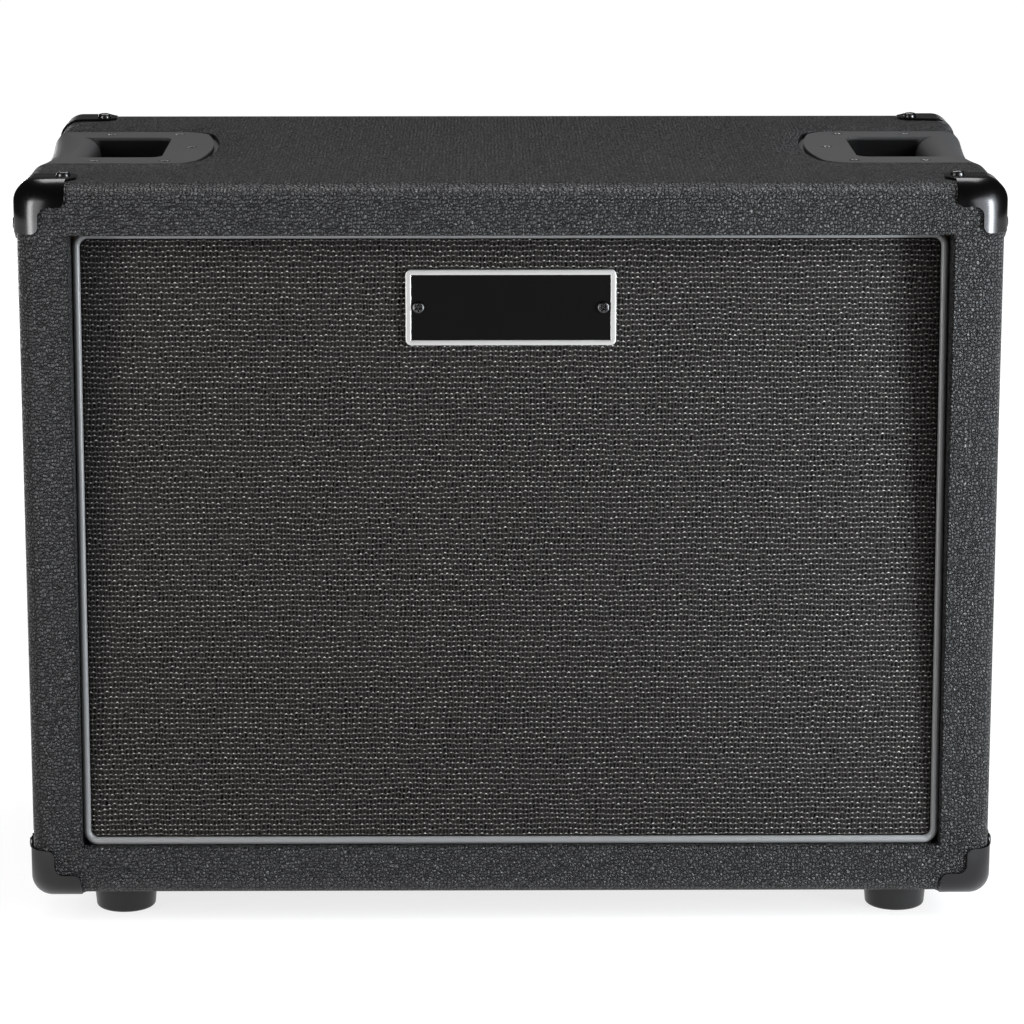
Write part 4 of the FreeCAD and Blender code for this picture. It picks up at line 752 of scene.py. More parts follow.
def make_object(name: str, patches: Sequence[Patch], skins: Sequence[bpy.types.Material],
                crease: float = SHARP_ANGLE) -> bpy.types.Object:
    """Joins patches into one mesh object at the origin, with points that coincide merged.

    Args:
        name: The piece's name.
        patches: The grids that it is made of.
        skins: The materials that its faces choose from.
        crease: The angle in degrees past which an edge stays sharp.

    Returns:
        The linked object.
    """
    counts = [patch.points.shape[0] * patch.points.shape[1] for patch in patches]
    starts = np.cumsum([0] + counts[:-1])
    points = np.concatenate([patch.points.reshape(-1, 3) for patch in patches])
    faces = np.concatenate([patch.faces()[patch.shown()] + start for patch, start in zip(patches, starts)])
    mesh = bpy.data.meshes.new(name)
    mesh.from_pydata(points.tolist(), [], faces.tolist())
    mesh.polygons.foreach_set("material_index", np.concatenate([patch.skins() for patch in patches]))
    mesh.polygons.foreach_set("use_smooth", np.ones(len(faces), bool))
    if all(patch.flat is not None for patch in patches):
        flat = np.concatenate([patch.flat.reshape(-1, 2) for patch in patches])
        layer = mesh.uv_layers.new(name=FLAT_MAP)
        layer.data.foreach_set("uv", flat[faces.reshape(-1)].reshape(-1))
    for skin in skins:
        mesh.materials.append(skin)
    form = bmesh.new()
    form.from_mesh(mesh)
    bmesh.ops.remove_doubles(form, verts=form.verts, dist=MERGE_DISTANCE)
    loose = [vertex for vertex in form.verts if not vertex.link_faces]
    bmesh.ops.delete(form, geom=loose, context="VERTS")
    form.to_mesh(mesh)
    form.free()
    mesh.set_sharp_from_angle(angle=math.radians(crease))
    piece = bpy.data.objects.new(name, mesh)
    bpy.context.scene.collection.objects.link(piece)
    return piece


def wall(piece: bpy.types.Object, thickness: float) -> None:
    """Gives a sheet its thickness, inwards from the side that its faces point to.

    Args:
        piece: The sheet.
        thickness: Its thickness in metres.
    """
    solid = piece.modifiers.new("thickness", "SOLIDIFY")
    solid.thickness = thickness
    solid.offset = -1.0


def stand_in(piece: bpy.types.Object, node: str) -> None:
    """Puts a piece in place of a packed node, and reports it.

    Args:
        piece: The new piece.
        slot: The material slot that it belongs to.
        node: The packed node that it replaces.
    """
    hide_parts(node)
    log.info("%s: %d faces in place of %s", piece.name, len(piece.data.polygons), node)


def install(piece: bpy.types.Object, node: str) -> None:
    """Sets a piece on the cabinet in place of a packed node."""
    stand_in(piece, node)
    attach(piece, CABINET)


def around(steps: int) -> np.ndarray:
    """Angles round a full turn, evenly apart, without the last one, which is the first again."""
    return np.linspace(0.0, FULL_TURN, steps + 1)[:-1]


def arc(steps: int) -> tuple[np.ndarray, np.ndarray]:
    """Cosine and sine over a quarter turn."""
    angle = np.linspace(0.0, QUARTER_TURN, steps + 1)
    return np.cos(angle), np.sin(angle)


def rounded_rings(half_width: np.ndarray, half_height: np.ndarray, radius: np.ndarray,
                  straight: int, turn: int) -> tuple[np.ndarray, np.ndarray, np.ndarray, np.ndarray]:
    """Rings of rounded rectangles, one for each row of sizes.

    A corner's points are its centre plus the radius times the cosine and sine of a quarter turn, and the
    straight run to the next corner is divided evenly. The outward direction is that of the same angle.

    Args:
        half_width: Half of each ring's width, one a row.
        half_height: Half of each ring's height.
        radius: Each ring's corner radius.
        straight: Steps in a straight run.
        turn: Steps in a corner.

    Returns:
        Points across and up, and the outward direction across and up, each by rows and columns.
    """
    half_width, half_height, radius = (np.asarray(size, float)[:, None] for size in
                                       (half_width, half_height, radius))
    quarter = np.linspace(0.0, QUARTER_TURN, turn + 1)
    run = np.linspace(0.0, 1.0, straight + 1)[1:-1]
    across, up, out_across, out_up = [], [], [], []
    corners = [(1, 1), (-1, 1), (-1, -1), (1, -1)]
    for number, (side, level) in enumerate(corners):
        angle = quarter + number * QUARTER_TURN
        arc_across = side * (half_width - radius) + radius * np.cos(angle)
        arc_up = level * (half_height - radius) + radius * np.sin(angle)
        next_side, next_level = corners[(number + 1) % len(corners)]
        last = angle[-1]
        end_across = next_side * (half_width - radius) + radius * math.cos(last)
        end_up = next_level * (half_height - radius) + radius * math.sin(last)
        across += [arc_across, arc_across[:, -1:] * (1 - run) + end_across * run]
        up += [arc_up, arc_up[:, -1:] * (1 - run) + end_up * run]
        turned = np.concatenate([angle, np.full(len(run), last)])
        out_across.append(np.broadcast_to(np.cos(turned), (len(radius), len(turned))))
        out_up.append(np.broadcast_to(np.sin(turned), (len(radius), len(turned))))
    return tuple(np.concatenate(parts, axis=1) for parts in (across, up, out_across, out_up))


@dataclass(frozen=True)
class Box:
    """The cabinet's covered box, by its lowest and highest corners."""

    low: np.ndarray
    high: np.ndarray

    @property
    def half(self) -> np.ndarray:
        """Half of its size in each direction."""
        return (self.high - self.low) / 2

    @property
    def middle(self) -> float:
        """The height of its middle."""
        return float(self.low[2] + self.high[2]) / 2


@dataclass(frozen=True)
class Slope:
    """The leaning plane of the cloth: the top leans back by the tilt."""

    front: float
    middle: float
    tilt: float = math.radians(2.5)

    def place(self, across: np.ndarray, into: np.ndarray, up: np.ndarray) -> np.ndarray:
        """Points on the slope, whose depth and height turn by the tilt.

        Args:
            across: How far each point is to the right of the middle.
            into: How far it is behind the cloth.
            up: How far it is up the slope from the middle.

        Returns:
            The points in the model's frame.
        """
        depth = self.front + into * math.cos(self.tilt) + up * math.sin(self.tilt)
        height = self.middle - into * math.sin(self.tilt) + up * math.cos(self.tilt)
        return np.stack(np.broadcast_arrays(across, depth, height), axis=-1)

    def outward(self) -> np.ndarray:
        """The direction out of the cloth."""
        return np.array([0.0, -math.cos(self.tilt), math.sin(self.tilt)])


# Sub-assemblies


@dataclass
class Covering:
    """The vinyl skin round the box, with its front band and the cut-outs for the two edge handles."""

    finish: Finish
    box: Box
    edge_radius: float = 10.5 * MM
    front_band: float = 28.5 * MM
    back_band: float = 19.0 * MM
    front_wrap: float = 20.0 * MM
    back_wrap: float = 2.7 * MM
    fold_radius: float = 1.8 * MM
    least_radius: float = 0.6 * MM
    thickness: float = 1.0 * MM
    recess_half_width: float = 67.6 * MM
    recess_reach: float = 101.8 * MM
    recess_bow: float = 258.4 * MM
    recess_corner: float = 18.0 * MM
    round_steps: int = 10
    straight_steps: int = 8
    wrap_steps: int = 2

    def recess_end(self, depth: np.ndarray) -> np.ndarray:
        """How far a handle's cut-out reaches from the edge at each depth along the side.

        The end is a wide arc, joined to the straight sides by two corner arcs, and past the sides it keeps
        the reach at which the corner arc meets them.
        """
        away = np.minimum(np.abs(depth), self.recess_half_width)
        centre = self.recess_half_width - self.recess_corner
        inner = self.recess_bow - self.recess_corner
        corner_reach = self.recess_reach - self.recess_bow + math.sqrt(inner ** 2 - centre ** 2)
        meeting = centre * self.recess_bow / inner
        bow = self.recess_reach - self.recess_bow + np.sqrt(self.recess_bow ** 2 - away ** 2)
        past = np.clip(away - centre, 0.0, self.recess_corner)
        return np.where(away < meeting, bow, corner_reach + np.sqrt(self.recess_corner ** 2 - past ** 2))

    def rows(self) -> tuple[np.ndarray, np.ndarray]:
        """The section's path from inside the front opening, round the box and into the back opening.

        Returns:
            The inset from the box's outline and the depth, one of each a row.
        """
        front, back = self.box.low[1], self.box.high[1]
        cosine, sine = arc(self.round_steps)
        fold, edge = self.fold_radius, self.edge_radius
        centre = self.recess_half_width - self.recess_corner
        bend = centre + self.recess_corner * sine[1:]
        middle = np.concatenate([-bend[::-1], np.linspace(-centre, centre, 2 * self.straight_steps), bend])
        path = [
            (np.full(self.wrap_steps, self.front_band),
             np.linspace(front + self.front_wrap, front + fold, self.wrap_steps + 1)[:-1]),
            (self.front_band - fold + fold * cosine, front + fold - fold * sine),
            (np.linspace(self.front_band - fold, edge, self.straight_steps)[1:-1],
             np.full(self.straight_steps - 2, front)),
            (edge - edge * sine, front + edge - edge * cosine),
            ([0.0], [(front + edge - self.recess_half_width) / 2]),
            (np.zeros(len(middle)), middle),
            ([0.0], [(back - edge + self.recess_half_width) / 2]),
            (edge - edge * cosine, back - edge + edge * sine),
            ([(edge + self.back_band - fold) / 2], [back]),
            (self.back_band - fold + fold * sine, back - fold + fold * cosine),
            ([self.back_band], [back - self.back_wrap]),
        ]
        inset, depth = zip(*path)
        return np.concatenate(inset), np.concatenate(depth)

    def build(self) -> None:
        """Carries the section round the box.

        A row is one ring: half of it runs from the middle of the top, past the cut-out's end, round the
        edge, down the side past the cut-out's other end, round the lower edge and back to the middle, and
        the other half mirrors it. The faces of the cut-outs are left out.
        """
        inset, depth = (values[:, None] for values in self.rows())
        radius = np.maximum(self.edge_radius - inset, self.least_radius)
        end = self.recess_end(depth)
        half, low, high = self.box.high[0], self.box.low[2], self.box.high[2]
        side = half - inset
        top = high - inset
        bottom = low + inset
        step = np.linspace(0.0, 1.0, self.straight_steps + 1)[None, :-1]
        angle = np.linspace(0.0, QUARTER_TURN, self.round_steps + 1)[None, :-1]
        flat = np.zeros_like(step)
        runs = [
            (step * (half - end), top + flat),
            ((half - end) + step * (side - radius - half + end), top + flat),
            (side - radius + radius * np.sin(angle), top - radius + radius * np.cos(angle)),
            (side + flat, top - radius + step * (high - end - top + radius)),
            (side + flat, high - end + step * (bottom + radius - high + end)),
            (side - radius + radius * np.cos(angle), bottom + radius - radius * np.sin(angle)),
            ((side - radius) * (1.0 - step), bottom + flat),
        ]
        across, height = (np.concatenate(parts, axis=1) for parts in zip(*runs))
        count = across.shape[1]
        across = np.concatenate([across, np.zeros_like(inset), -across[:, :0:-1]], axis=1)
        height = np.concatenate([height, bottom, height[:, :0:-1]], axis=1)
        points = np.stack([across, np.broadcast_to(depth, across.shape), height], axis=-1)

        recess_start = self.straight_steps
        recess_stop = recess_start + 2 * self.straight_steps + self.round_steps
        within = np.abs(depth[:-1, 0] + depth[1:, 0]) / 2 < self.recess_half_width
        column = np.arange(across.shape[1])
        mirrored = 2 * count - 1 - column
        cut = (column >= recess_start) & (column < recess_stop)
        cut |= (mirrored >= recess_start) & (mirrored < recess_stop)
        patch = Patch(points, kept=~(within[:, None] & cut[None, :]))
        piece = make_object("covering", [patch], [self.finish.material()])
        wall(piece, self.thickness)
        install(piece, "vinyl_covering")


@dataclass
class Grille:
    """The stretched cloth, the bead of piping round it and the badge plate on it."""

    slope: Slope
    weave: Finish
    bead: Finish
    border: Finish
    field: Finish
    half_width: float = 237.0 * MM
    half_height: float = 169.66 * MM
    corner_radius: float = 4.4 * MM
    wrap: float = 12.4 * MM
    fold_radius: float = 1.6 * MM
    fold_steps: int = 6
    face_steps: int = 23
    side_steps: int = 24
    cloth_thickness: float = 0.6 * MM
    piping_diameter: float = 4.2 * MM
    piping_steps: int = 24
    piping_side_steps: int = 40
    piping_turn_steps: int = 14
    badge_half_width: float = 58.0 * MM
    badge_half_height: float = 21.0 * MM
    badge_rise: float = 131.6 * MM
    badge_thickness: float = 2.5 * MM
    badge_border: float = 3.0 * MM
    badge_sink: float = 0.6 * MM
    badge_radius: float = 3.0 * MM
    badge_edge: float = 0.35 * MM
    badge_edge_steps: int = 4
    badge_field_steps: int = 5
    badge_side_steps: int = 16
    badge_turn_steps: int = 6
    badge_crease: float = 30.0

    @property
    def badge_floor(self) -> float:
        """How far the badge's field stands out from the cloth."""
        return self.badge_thickness - self.badge_sink

    def cloth(self) -> None:
        """The cloth: rings from behind the frame's edge, round its fold and over the face to the middle.

        The flat map is the place across and up, and past the fold it goes on outwards by the depth.
        """
        cosine, sine = arc(self.fold_steps)
        fold = self.fold_radius
        face = np.linspace(fold, self.half_height, self.face_steps + 1)[1:]
        hem = [self.wrap, (self.wrap + fold) / 2]
        inset = np.concatenate([np.zeros(len(hem)), fold - fold * cosine, face])
        into = np.concatenate([hem, fold - fold * sine, np.zeros(self.face_steps)])[:, None]
        across, up, out_across, out_up = rounded_rings(
            self.half_width - inset, self.half_height - inset,
            np.maximum(self.corner_radius - inset, 0.0), self.side_steps, self.fold_steps)
        points = self.slope.place(across, into, up)
        flat = np.stack([across + out_across * into, up + out_up * into], axis=-1)
        piece = make_object("grille_weave", [Patch(points, flat=flat)], [self.weave.material()])
        wall(piece, self.cloth_thickness)
        install(piece, "grille_cloth")

    def piping(self) -> None:
        """The bead: a round section carried along a rounded rectangle, turned to its outward direction."""
        radius = self.piping_diameter / 2
        sizes = (self.half_width, self.half_height, self.corner_radius)
        across, up, out_across, out_up = rounded_rings(
            *(np.array([size + radius]) for size in sizes), self.piping_side_steps, self.piping_turn_steps)
        angle = around(self.piping_steps)[:, None]
        out = radius * np.cos(angle)
        points = self.slope.place(across + out_across * out, radius * np.sin(angle), up + out_up * out)
        closed = np.concatenate([points, points[:1]])
        piece = make_object("piping_bead", [Patch(closed, sense=Sense.REVERSED)], [self.bead.material()])
        install(piece, "grille_piping")

    def badge(self) -> None:
        """The plate: rings from its back edge over a rounded rim to a bright border and a sunk field."""
        edge, face, border = self.badge_edge, self.badge_thickness, self.badge_border
        cosine, sine = arc(self.badge_edge_steps)
        field = np.linspace(border + edge, self.badge_half_height, self.badge_field_steps + 1)
        inset = np.concatenate([[0.0], edge - edge * cosine, [border - edge],
                                border - edge + edge * sine, field])
        rise = np.concatenate([[0.0], face - edge + edge * sine, [face],
                               face - edge + edge * cosine, np.full(len(field), self.badge_floor)])
        across, up, _, _ = rounded_rings(
            self.badge_half_width - inset, self.badge_half_height - inset,
            np.maximum(self.badge_radius - inset, 0.0), self.badge_side_steps, self.badge_turn_steps)
        points = self.slope.place(across, -rise[:, None], up + self.badge_rise)
        skin = (inset[:-1] >= border - edge / 2).astype(int)
        skins = [self.border.material(), self.field.material()]
        piece = make_object("badge", [Patch(points, skin=skin)], skins, self.badge_crease)
        install(piece, "badge_plate")

    def build(self) -> None:
        """Makes the three pieces in order."""
        self.cloth()
        self.piping()
        self.badge()


@dataclass(frozen=True)
class Screw:
    """One kind of screw: its sizes, and the form of its head and of the cross in it as shares of these."""

    head: float
    rise: float
    shank: float
    length: float
    kind: Head = Head.PAN
    rim: float = 0.12
    dish: float = 0.06
    taper: float = 0.85
    cross_reach: float = 0.31
    cross_width: float = 0.075
    cross_soft: float = 0.06
    cross_depth: float = 0.16
    rings: int = 16
    steps: int = 48

    def profile(self) -> tuple[np.ndarray, np.ndarray, np.ndarray]:
        """The outline from the middle of the head to the point.

        A pan head falls to its rim by a fourth power, and a flush one dips a little there by a sixth.

        Returns:
            Radius and height of each ring, and how much of the cross it takes.
        """
        radius, shank = self.head / 2, self.shank / 2
        ring = np.linspace(0.0, 1.0, self.rings)
        if self.kind is Head.PAN:
            crown = self.rise * (self.rim + (1.0 - self.rim) * np.sqrt(np.clip(1.0 - ring ** 4, 0.0, 1.0)))
            under, seat = 0.0, radius
        else:
            crown = -self.dish * self.rise * ring ** 6
            under, seat = -self.rise, shank
        away = np.concatenate([radius * ring, [seat, shank, shank, 0.0]])
        height = np.concatenate([crown, [under, under, -self.length * self.taper, -self.length]])
        recess = np.concatenate([np.ones(self.rings), np.zeros(len(away) - self.rings)])
        return away, height, recess

    def points(self) -> np.ndarray:
        """One screw about its own axis.

        Its profile is turned, and the head sinks inside a cross: the larger of two soft-edged bars.

        Returns:
            The points by rows and columns.
        """
        away, height, recess = (values[:, None] for values in self.profile())
        angle = around(self.steps)[None, :]
        first, second = away * np.cos(angle), away * np.sin(angle)
        reach, width, soft = (share * self.head for share in
                              (self.cross_reach, self.cross_width, self.cross_soft))
        bars = [np.clip((reach - np.abs(along)) / soft, 0.0, 1.0)
                * np.clip((width - np.abs(beside)) / soft + 0.5, 0.0, 1.0)
                for along, beside in ((first, second), (second, first))]
        depth = self.cross_depth * self.head
        sunk = np.broadcast_to(height, first.shape) - depth * recess * np.maximum(*bars)
        return np.stack([first, second, sunk], axis=-1)


@dataclass
class Fasteners:
    """The screws that show, set out from the box's faces."""

    finish: Finish
    worn: Finish
    grille: Grille
    box: Box
    corner_thickness: float = 1.5 * MM
    corner_inset: float = 24.5 * MM
    corner_setback: float = 25.0 * MM
    handle_near: float = 35.0 * MM
    handle_far: float = 75.0 * MM
    handle_end: float = 86.0 * MM
    handle_spread: float = 56.5 * MM
    badge_spread: float = 51.0 * MM
    back_face: float = 147.0 * MM
    back_spread: float = 200.0 * MM
    back_beside: float = 242.0 * MM
    back_inset: float = 28.0 * MM
    back_half_pitch: float = 85.0 * MM
    dish_face: float = 149.0 * MM
    dish_height: float = 120.0 * MM
    dish_spread: float = 35.0 * MM
    upright: float = 0.9
    spin: float = 2.4
    crease: float = 42.0

    def corner_set(self) -> Placed:
        """Places and directions of the corner screws: on each protector's flat leg and on its side."""
        places, ways = [], []
        depth = self.box.high[1] - self.corner_setback
        for side, end, level in product((-1, 1), repeat=3):
            face = self.box.low[2] if level < 0 else self.box.high[2]
            places += [(side * (self.box.high[0] - self.corner_inset), end * depth,
                        face + level * self.corner_thickness),
                       (side * (self.box.high[0] + self.corner_thickness), end * depth,
                        face - level * self.corner_inset)]
            ways += [(0, 0, level), (side, 0, 0)]
        return np.array(places), np.array(ways, float)

    def handle_set(self) -> Placed:
        """Places and directions of the handle screws: two pairs and one at the end, on both faces."""
        places, ways = [], []
        spread = self.handle_spread
        spots = [*product((self.handle_near, self.handle_far), (spread, -spread)), (self.handle_end, 0.0)]
        for side, (reach, depth) in product((-1, 1), spots):
            places += [(side * (self.box.high[0] - reach), depth, self.box.high[2]),
                       (side * self.box.high[0], depth, self.box.high[2] - reach)]
            ways += [(0, 0, 1), (side, 0, 0)]
        return np.array(places), np.array(ways, float)

    def badge_set(self) -> Placed:
        """Places and directions of the badge's two screws."""
        across = np.array([-self.badge_spread, self.badge_spread])
        slope = self.grille.slope
        places = slope.place(across, -self.grille.badge_floor, self.grille.badge_rise)
        return places, np.tile(slope.outward(), (len(places), 1))

    def back_set(self) -> Placed:
        """Places and directions of the back panel's screws: along its top and bottom, then at its sides."""
        spread, beside = self.back_spread, self.back_beside
        heights = (self.box.low[2] + self.back_inset, self.box.high[2] - self.back_inset)
        places = [*product((-spread, 0.0, spread), [self.back_face], heights)]
        heights = (self.box.middle - self.back_half_pitch, self.box.middle + self.back_half_pitch)
        places += product((-beside, beside), [self.back_face], heights)
        return np.array(places), np.tile(BACKWARDS, (len(places), 1))

    def dish_set(self) -> Placed:
        """Places and directions of the jack dish's screws."""
        spread = self.dish_spread
        middle = self.box.low[2] + self.dish_height
        places = [*product((-spread, spread), [self.dish_face], (middle - spread, middle + spread))]
        return np.array(places), np.tile(BACKWARDS, (len(places), 1))

    def fasten(self, name: str, node: str, skin: bpy.types.Material, screw: Screw, placed: Placed) -> None:
        """Sets a copy of a screw at each place, each cross turned by a step of its own.

        Args:
            name: The piece's name.
            node: The packed screws that it replaces.
            skin: Its material.
            screw: The kind of screw.
            placed: The places and the directions.
        """
        origins, axes = placed
        axes = axes / np.linalg.norm(axes, axis=1, keepdims=True)
        helper = np.where(np.abs(axes[:, 2:3]) > self.upright, [SIDEWAYS], [UPWARDS])
        side = np.cross(helper, axes)
        side /= np.linalg.norm(side, axis=1, keepdims=True)
        other = np.cross(axes, side)
        spin = (np.arange(len(axes)) * self.spin)[:, None]
        turned = side * np.cos(spin) + other * np.sin(spin)
        across = other * np.cos(spin) - side * np.sin(spin)
        bases = np.stack([turned, across, axes], axis=1)
        copies = np.einsum("rck,nkx->nrcx", screw.points(), bases) + origins[:, None, None, :]
        patches = [Patch(points, sense=Sense.REVERSED) for points in copies]
        install(make_object(name, patches, [skin], self.crease), node)

    def build(self) -> None:
        """Makes each set of screws."""
        black, bright = self.finish.material(), self.worn.material()
        corner = Screw(head=8.0 * MM, rise=2.4 * MM, shank=3.5 * MM, length=16.0 * MM)
        handle = Screw(head=7.0 * MM, rise=2.2 * MM, shank=3.5 * MM, length=16.0 * MM, kind=Head.FLUSH)
        badge = Screw(head=7.0 * MM, rise=1.8 * MM, shank=2.8 * MM, length=12.0 * MM)
        back = Screw(head=8.0 * MM, rise=2.8 * MM, shank=4.0 * MM, length=30.0 * MM)
        dish = Screw(head=7.0 * MM, rise=2.0 * MM, shank=3.2 * MM, length=13.0 * MM)
        self.fasten("corner_screw_heads", "corner_screws", black, corner, self.corner_set())
        self.fasten("handle_screw_heads", "handle_screws", bright, handle, self.handle_set())
        self.fasten("badge_screw_heads", "badge_screws", black, badge, self.badge_set())
        self.fasten("back_screw_heads", "back_panel_screws", black, back, self.back_set())
        self.fasten("dish_screw_heads", "jack_dish_screws", black, dish, self.dish_set())


@dataclass
class TinselLeads:
    """The two braided leads that join the terminal board to the moving cone and bend between the two."""

    finish: Finish
    node: str = "tinsel_leads"
    strands: int = 3
    turns: float = 9.0
    groove: float = 0.18
    rows: int = 60
    columns: int = 18

    def lead(self, side: int) -> tuple[np.ndarray, np.ndarray, float]:
        """The middle of a packed lead's back end, that of its front end, and its radius.

        The packed lead is a rod, so the longest direction of its points is its axis, taken to the front.

        Args:
            side: -1 for the lead on the left and 1 for the one on the right.

        Returns:
            Both ends and the radius.
        """
        packed = frame["nodes"][self.node]
        points = np.empty(3 * len(packed.data.vertices))
        packed.data.vertices.foreach_get("co", points)
        turn = np.array(packed.matrix_world)
        points = points.reshape(-1, 3) @ turn[:3, :3].T + turn[:3, 3]
        points = points[points[:, 0] * side > 0.0]
        centre = points.mean(axis=0)
        axis = np.linalg.svd(points - centre, full_matrices=False)[2][0]
        axis = axis if axis[1] < 0.0 else -axis
        along = (points - centre) @ axis
        radius = np.linalg.norm(points - centre - along[:, None] * axis, axis=1).max()
        return centre + axis * along.min(), centre + axis * along.max(), radius

    def tube(self, start: np.ndarray, end: np.ndarray, radius: float) -> Patch:
        """A rod whose radius dips between its strands: by a cosine of the angle less the twist so far.

        Args:
            start: The middle of its back end.
            end: The middle of its front end.
            radius: Its radius over the strands.

        Returns:
            The rod, closed at both ends.
        """
        axis = (end - start) / np.linalg.norm(end - start)
        first = np.cross(axis, SIDEWAYS)
        first /= np.linalg.norm(first)
        second = np.cross(axis, first)
        share = np.concatenate([[0.0], np.linspace(0.0, 1.0, self.rows), [1.0]])[:, None]
        open_row = np.concatenate([[0.0], np.ones(self.rows), [0.0]])[:, None]
        angle = around(self.columns)[None, :]
        ripple = np.cos(self.strands * angle - FULL_TURN * self.turns * share)
        away = radius * open_row * (1.0 - self.groove * (0.5 - 0.5 * ripple))
        ring = (away * np.cos(angle))[..., None] * first + (away * np.sin(angle))[..., None] * second
        return Patch(start + share[..., None] * (end - start) + ring)

    def build(self) -> None:
        """Makes both leads as one piece, which follows the cabinet at one end and the cone at the other."""
        leads = [self.lead(side) for side in (-1, 1)]
        piece = make_object("tinsel_braid", [self.tube(*lead) for lead in leads], [self.finish.material()])
        stand_in(piece, self.node)
        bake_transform(piece)


@dataclass
class Fittings:
    """The packed nodes that keep their own shape, each with the finish of its slot."""

    finishes: dict[str, Finish]

    def build(self) -> None:
        """Gives every node that still shows its finish, one material for each slot."""
        skins = {slot: finish.material() for slot, finish in self.finishes.items()}
        slots = {part["node"]: part["material_slot"] for part in frame["record"]["subparts"]}
        for name, node in sorted(frame["nodes"].items()):
            if node.hide_render:
                continue
            for place in node.material_slots:
                place.material = skins[slots[name]]
            log.info("%s: finish of %s", name, slots[name])


# Studio


@dataclass(frozen=True)
class SoftBox:
    """A soft lamp: a rectangle that faces a point on the cabinet."""

    name: str
    place: Triple
    width: float
    height: float
    watts: float
    colour: Colour = WHITE
    aim: Triple = (0.0, 0.0, 0.22)

    def build(self) -> None:
        """Adds the lamp to the scene."""
        lamp = bpy.data.lights.new(self.name, "AREA")
        lamp.shape = "RECTANGLE"
        lamp.size = self.width
        lamp.size_y = self.height
        lamp.energy = self.watts
        lamp.color = self.colour
        item = bpy.data.objects.new(self.name, lamp)
        item.location = self.place
        way = np.subtract(self.aim, self.place)
        item.rotation_euler = Vector(way).to_track_quat("-Z", "Y").to_euler()
        bpy.context.scene.collection.objects.link(item)


LAMPS = (
    SoftBox("overhead", (0.0, 0.80, 1.9), width=1.8, height=0.9, watts=33.0),
    SoftBox("left_box", (-1.10, -1.10, 0.60), width=0.5, height=1.3, watts=7.0),
    SoftBox("right_box", (1.05, -0.85, 0.60), width=1.0, height=1.2, watts=14.0, colour=(0.93, 0.97, 1.0)),
    SoftBox("right_strip", (0.75, -0.50, 0.30), width=0.15, height=0.9, watts=15.0,
            colour=(0.90, 0.96, 1.0), aim=(0.25, -0.15, 0.25)),
    SoftBox("left_strip", (-0.75, -0.50, 0.30), width=0.15, height=0.9, watts=5.5,
            colour=(1.0, 0.99, 0.97), aim=(-0.25, -0.15, 0.25)),
    SoftBox("back_box", (-1.0, 1.7, 0.22), width=0.8, height=0.36, watts=12.0),
    SoftBox("front_glint", (0.0, -2.9, 0.95), width=1.6, height=0.35, watts=1.0),
)


@dataclass
class Studio:
    """A white floor and background, soft lamps, and the camera at the photograph's angle."""

    lamps: Sequence[SoftBox]
    floor_half: float = 14.0
    floor_steps: int = 2
    floor_colour: Colour = grey(0.26)
    ambient: float = 0.06
    near: float = 0.55
    far: float = 1.6
    near_glow: float = 0.78
    eye: Triple = (-16.8 * MM, -2308.7 * MM, 737.8 * MM)
    look_down: float = 0.226
    look_aside: float = -0.008
    lens: float = 140.8
    sensor: float = 36.0

    def seen(self, recipe: Recipe) -> Link:
        """1 for what the camera, a gloss or a clear material looks at, and 0 for scattered light."""
        camera, gloss, clear = (recipe.add("LightPath", {}, {}, f"Is {kind} Ray")
                                for kind in ("Camera", "Glossy", "Transmission"))
        return camera.most(gloss).most(clear)

    def floor(self) -> None:
        """A large pale floor that keeps the shadow close by and glows white further away."""
        edge = np.linspace(-self.floor_half, self.floor_half, self.floor_steps + 1)
        x, y = np.meshgrid(edge, edge)
        points = np.stack([x, y, np.zeros_like(x)], axis=-1)
        skin = bpy.data.materials.new("floor_white")
        recipe = Recipe(skin)
        away = recipe.add("VectorMath", {"operation": "LENGTH"}, {0: recipe.place()}, "Value")
        glow = self.near_glow + (1.0 - self.near_glow) * recipe.rise(away, self.near, self.far)
        paint = recipe.add("BsdfDiffuse", {}, {"Color": self.floor_colour})
        light = recipe.add("Emission", {}, {"Color": WHITE, "Strength": self.seen(recipe) * glow})
        both = recipe.add("AddShader", {}, {0: paint, 1: light})
        recipe.node("OutputMaterial", {}, {"Surface": both})
        make_object("floor", [Patch(points, closed=False)], [skin])

    def world(self) -> None:
        """A dim even light from all round, so that gloss shows the lamps and the floor."""
        world = bpy.data.worlds.new("studio")
        recipe = Recipe(world)
        light = recipe.add("Background", {}, {"Color": WHITE, "Strength": self.ambient})
        recipe.node("OutputWorld", {}, {"Surface": light})
        bpy.context.scene.world = world

    def camera(self) -> None:
        """A long lens that looks a little down at the front."""
        data = bpy.data.cameras.new("camera")
        data.lens = self.lens
        data.sensor_width = self.sensor
        item = bpy.data.objects.new("camera", data)
        item.location = self.eye
        item.rotation_euler = (QUARTER_TURN - self.look_down, 0.0, self.look_aside)
        bpy.context.scene.collection.objects.link(item)
        bpy.context.scene.camera = item

    def build(self) -> None:
        """Sets up floor, background, lamps and camera."""
        self.floor()
        self.world()
        for lamp in self.lamps:
            lamp.build()
        self.camera()
        bpy.context.scene.view_settings.view_transform = "Standard"


